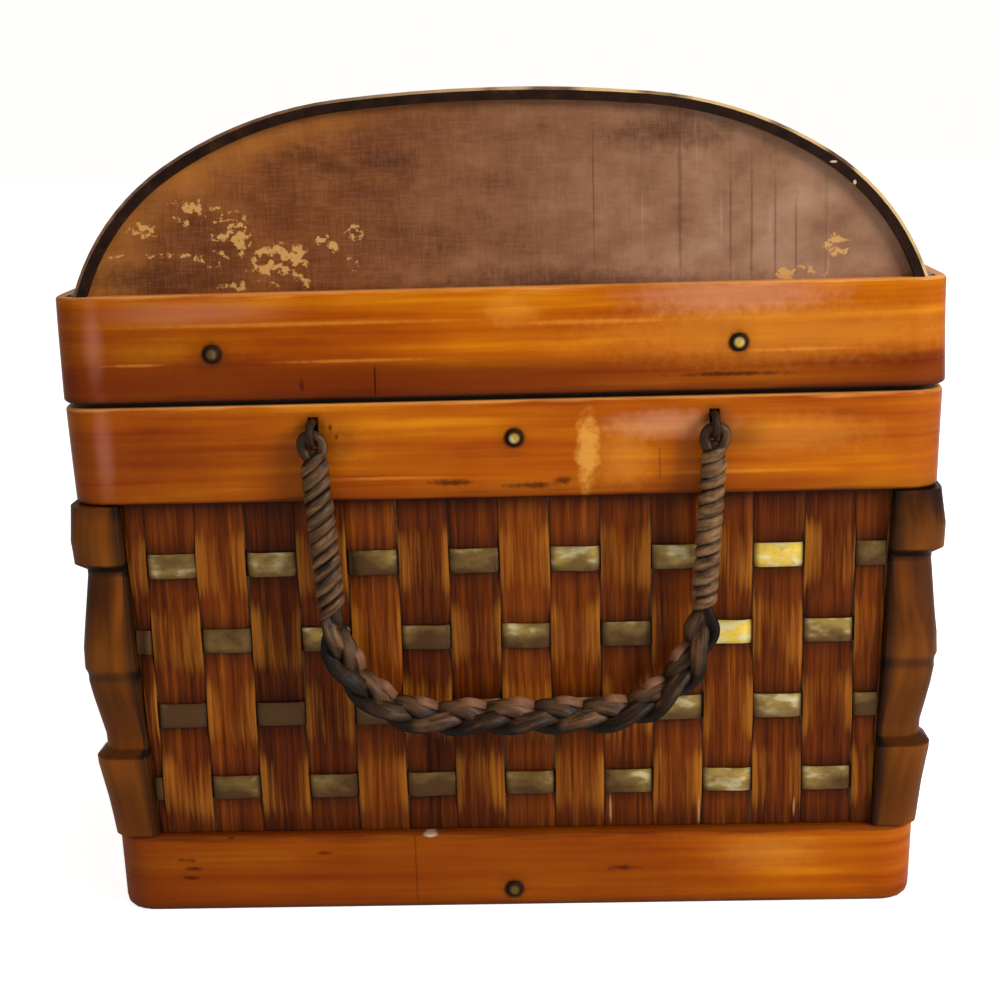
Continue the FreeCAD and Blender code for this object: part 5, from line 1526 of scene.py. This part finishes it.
def threaded_lace(end, seed):
    """A flat lace on the inner side of the bow, which dips at every turn of a strand, thrice a period."""
    distance = np.linspace(THREAD_START, BOW_LENGTH - THREAD_START, THREAD_RINGS)
    centre, sideways, facing = bow_frame(distance)
    dips = np.cos(6 * np.pi * (distance / PLAIT_PERIOD - 1 / 12))[:, None]
    middle = centre - sideways * THREAD_SIDE + facing * (THREAD_OUT - THREAD_DIP * dips)
    wide, thick = flat_ring(12, 0.6)
    rings = ribbon(end, middle, facing, THREAD_HALF_WIDTH * wide, THREAD_HALF_THICKNESS * thick)
    # Painted shade where the lace dips under the strands.
    return skin(f"handle_thread_{seed}", rings, worn=0.5, dirt=0.8 * ease(dips), tone=2.0,
                grain=xyz(distance[:, None], wide * THREAD_HALF_WIDTH, float(seed)))


for end, side in END_NAMES.items():
    settle(plaited_bow(end, 60 + end), side + "_handle", "leather_rope", side + "_handle_rope")
    settle(threaded_lace(end, 64 + end), side + "_handle", "leather_lace")

# %% [markdown]
# A flat lace is wound eleven times round each leg. It lies at a slant, so one side of every turn sits
# higher, and its lower edge overlaps the next turn.

# %% Lace on the legs
LACE_TURNS = 11
LACE_RINGS = 460
LACE_SEAT = LEG_RADIUS - 1.55 * MM
LACE_PITCH = 4.7 * MM
LACE_START = 2.6 * MM
LACE_HALF_HEIGHT = 2.5 * MM
LACE_HALF_THICKNESS = 1.15 * MM
LACE_OVERLAP = 0.42 * MM
LACE_TAIL = 0.35
LACE_LEAD = 0.3
LACE_SLANT = {1: math.tan(math.radians(9)), -1: math.tan(math.radians(24))}
LACE_SLIM = {1: 0.9, -1: 1.0}


def leg_points(end, side, out, across, height):
    """Points round a leg: out of the wall, across the leg, and up it from its foot."""
    _, foot, way = leg_line(side)
    return in_handle(end, out, foot[0] + way[0] * height + way[1] * across,
                     foot[1] + way[1] * height - way[0] * across)


def wound_laces(end, seed):
    """A flat ring on a helix: height is the pitch times the turns, plus a slant across the leg."""
    turn = np.linspace(-LACE_TAIL, LACE_TURNS + LACE_LEAD, LACE_RINGS)[:, None]
    angle = 2 * np.pi * turn
    high, thick = flat_ring(14, 0.9)
    tapered = ease(np.minimum(turn + LACE_TAIL, LACE_TURNS + LACE_LEAD - turn) / 0.3)
    uneven = 1 + 0.14 * wander(seed, turn * 2.1)
    core = LACE_SEAT * (0.75 + 0.25 * tapered)
    full = core + LACE_HALF_THICKNESS * thick - LACE_OVERLAP * high
    shells, tones = [], []
    for side in SIDES:
        radius = LACE_SLIM[side] * full
        across = radius * np.sin(angle)
        middle = LACE_START + LACE_PITCH * turn + LACE_SLANT[side] * across
        height = middle + LACE_HALF_HEIGHT * high * uneven * (0.5 + 0.5 * tapered)
        shells.append(leg_points(end, side, radius * np.cos(angle), across, height))
        tones.append(0.5 + 0.5 * side + 0.25 * wander(seed + side, turn * 6.0))
    # Painted shade under the turn above and along the lower and inner sides; the outer face is paler by
    # wear and a painted highlight.
    dirt = 0.85 * ease((high - 0.3) / 0.5) + 0.5 * ease((-high - 0.6) / 0.4) + 0.6 * ease(-thick)
    return skin(f"handle_lace_{seed}", np.stack(shells), worn=0.45 * ease(thick) + 0.2 * ease(-high),
                dirt=np.clip(dirt, 0, 1), tone=np.stack(tones),
                grain=xyz(angle * LEG_RADIUS, high * LACE_HALF_HEIGHT, float(seed)))


for end, side in END_NAMES.items():
    settle(wound_laces(end, 70 + end), side + "_handle", "leather_lace", side + "_handle_laces")

# %% [markdown]
# Inside the lace a leg has a round core. Its top is bent to an eye, a closed drop that hangs in a thong.

# %% Cores and eyes of the legs
CORE_RADIUS = 1.58 * MM
CORE_SWELL = 0.9 * MM
CORE_TUCK = 7.0 * MM
EYE_HALF = 4.4 * MM
EYE_DEPTH = 9.5 * MM
EYE_PINCH = 0.45
EYE_RADIUS = 1.75 * MM
EYE_FILL = 5.0 * MM


def leg_cores(end):
    """A round core up each leg, from inside the bow to the eye."""
    _, _, way = leg_line(1)
    height = np.linspace(-CORE_TUCK, LEG_LENGTH / way[1] - EYE_FILL, 40)[:, None]
    angle = circle(14)
    radius = CORE_RADIUS + CORE_SWELL * ease(1 - height / (50 * MM))
    shells = [leg_points(end, side, radius * np.cos(angle), radius * np.sin(angle), height)
              for side in SIDES]
    return skin(f"handle_core_{80 + end}", np.stack(shells), grain=xyz(height, angle * CORE_RADIUS, 3.0),
                worn=0.0, dirt=0.3, tone=0.0)


def leg_eyes(end):
    """A round ring carried along a drop, whose flat top hangs in the thong.

    The drop falls by half of one less the cosine of the turn. Its width is the sine, pinched as it falls.
    """
    turn = circle(72)[:, None]
    drop = (1 - np.cos(turn)) / 2
    across = EYE_HALF * np.sin(turn) * (1 - EYE_PINCH * drop)
    up = -EYE_DEPTH * drop
    step_across = np.roll(across, -1, axis=0) - np.roll(across, 1, axis=0)
    step_upward = np.roll(up, -1, axis=0) - np.roll(up, 1, axis=0)
    step = np.hypot(step_across, step_upward)
    angle = circle(14)
    swell = EYE_RADIUS * (1 + 0.1 * np.sin(turn) ** 2 + 0.03 * wander(9, 3 * turn))
    height = up - step_across / step * swell * np.cos(angle)
    sideways = across + step_upward / step * swell * np.cos(angle)
    shells = []
    for side in SIDES:
        top, _, way = leg_line(side)
        shells.append(in_handle(end, swell * np.sin(angle), top[0] + way[0] * height + sideways,
                                height * way[1]))
    return skin(f"handle_eye_{80 + end}", np.stack(shells), loop=True,
                grain=xyz(turn * EYE_HALF, angle * EYE_RADIUS, 4.0), worn=0.15, dirt=0.35, tone=0.0)


for end, side in END_NAMES.items():
    settle(leg_cores(end), side + "_handle", "leather_rope")
    settle(leg_eyes(end), side + "_handle", "leather_lace")

# %% [markdown]
# A thong is a short loop through a slot of the rim band. A knot on the inside keeps it from pulling out.

# %% Thongs and knots
THONG_RADIUS = 1.4 * MM
LOOP_RADIUS = 3.33 * MM
WALL_DEPTH = 9.0 * MM
THONG_TAIL = 2.0 * MM
KNOT_RADIUS = 7.1 * MM
KNOT_HEIGHT = 4.0 * MM
FOLD_DEPTH = 0.1


def thong_loops(end):
    """A round ring along two straight tails and the half circle that joins them."""
    run = STANDOFF + WALL_DEPTH + THONG_TAIL
    bend = math.pi * LOOP_RADIUS
    distance = np.linspace(0.0, 2 * run + bend, 90)[:, None]
    legs = [(run, 0.0), (bend, -math.pi), (run, 0.0)]
    out, up, heading = walk((-run, LOOP_RADIUS), 0.0, legs, distance)
    angle = circle(12)
    beside = THONG_RADIUS * np.cos(angle)
    out = out - np.sin(heading) * beside
    up = up + np.cos(heading) * beside
    shells = [in_handle(end, out, side * HANDLE_SPACING / 2 + THONG_RADIUS * np.sin(angle), up)
              for side in SIDES]
    return skin(f"thong_loop_{80 + end}", np.stack(shells), grain=xyz(distance, angle * THONG_RADIUS, 5.0),
                worn=0.0, dirt=0.6, tone=-0.5)


def thong_knots(end):
    """A flat dome with spiral folds: its radius swells and sinks as a sine of the angle and the height."""
    rise = np.concatenate([[0.0], np.linspace(0.0, 1.0, 15)])[:, None]
    angle = circle(36)
    bulge = np.sqrt(np.clip(1 - rise ** 2.6, 0.0004, 1))
    bulge[0] = 0.05
    fold = FOLD_DEPTH * (0.5 + 0.5 * np.sin(3 * angle + 5 * rise)) * ease(rise / 0.2)
    radius = KNOT_RADIUS * bulge * (1 - fold)
    depth = KNOT_HEIGHT * rise * (1 - 0.12 * (0.5 + 0.5 * np.sin(2 * angle + 1.0)))
    up = radius * np.sin(angle)
    out = half_length(PIVOT_HEIGHT + up) - PIVOT_X - WALL_DEPTH - depth
    shells = [in_handle(end, out, side * HANDLE_SPACING / 2 + radius * np.cos(angle), up) for side in SIDES]
    # Painted shade in the folds.
    return skin(f"thong_knot_{80 + end}", np.stack(shells), grain=xyz(angle * KNOT_RADIUS, radius, 6.0),
                worn=0.2, dirt=0.5 * fold / FOLD_DEPTH, tone=0.0)


for end, side in END_NAMES.items():
    settle(thong_loops(end), "trunk_body", "leather_lace", side + "_handle_thongs")
    settle(thong_knots(end), "trunk_body", "leather_lace")

# %% [markdown]
# Boards, rails, panels, the dome and the hinges keep their CAD shapes, because sawn and cast pieces
# really are that regular. Each of them only changes its plain colour for the finish of its slot.

# %% Finishes of the solids that stay
KEPT_NODES = {
    "plain_board": ["bottom_board", "front_wall_board", "back_wall_board", "right_end_board",
                    "left_end_board", "lid_front_rail", "lid_back_rail"],
    "stained_panel": ["lid_right_end_panel", "lid_left_end_panel"],
    "dome_board": ["dome_sheet"],
    "dome_veneer": ["dome_veneer"],
    "hinge_brass": ["hinge_body_leaves", "hinge_lid_leaves", "hinge_pins", "hinge_body_screws",
                    "hinge_lid_screws"],
}
for slot, nodes in KEPT_NODES.items():
    for node in nodes:
        mesh = bpy.data.objects[node].data
        mesh.materials.clear()
        mesh.materials.append(FINISHES[slot])
print("solids with a finish:", sum(len(nodes) for nodes in KEPT_NODES.values()))
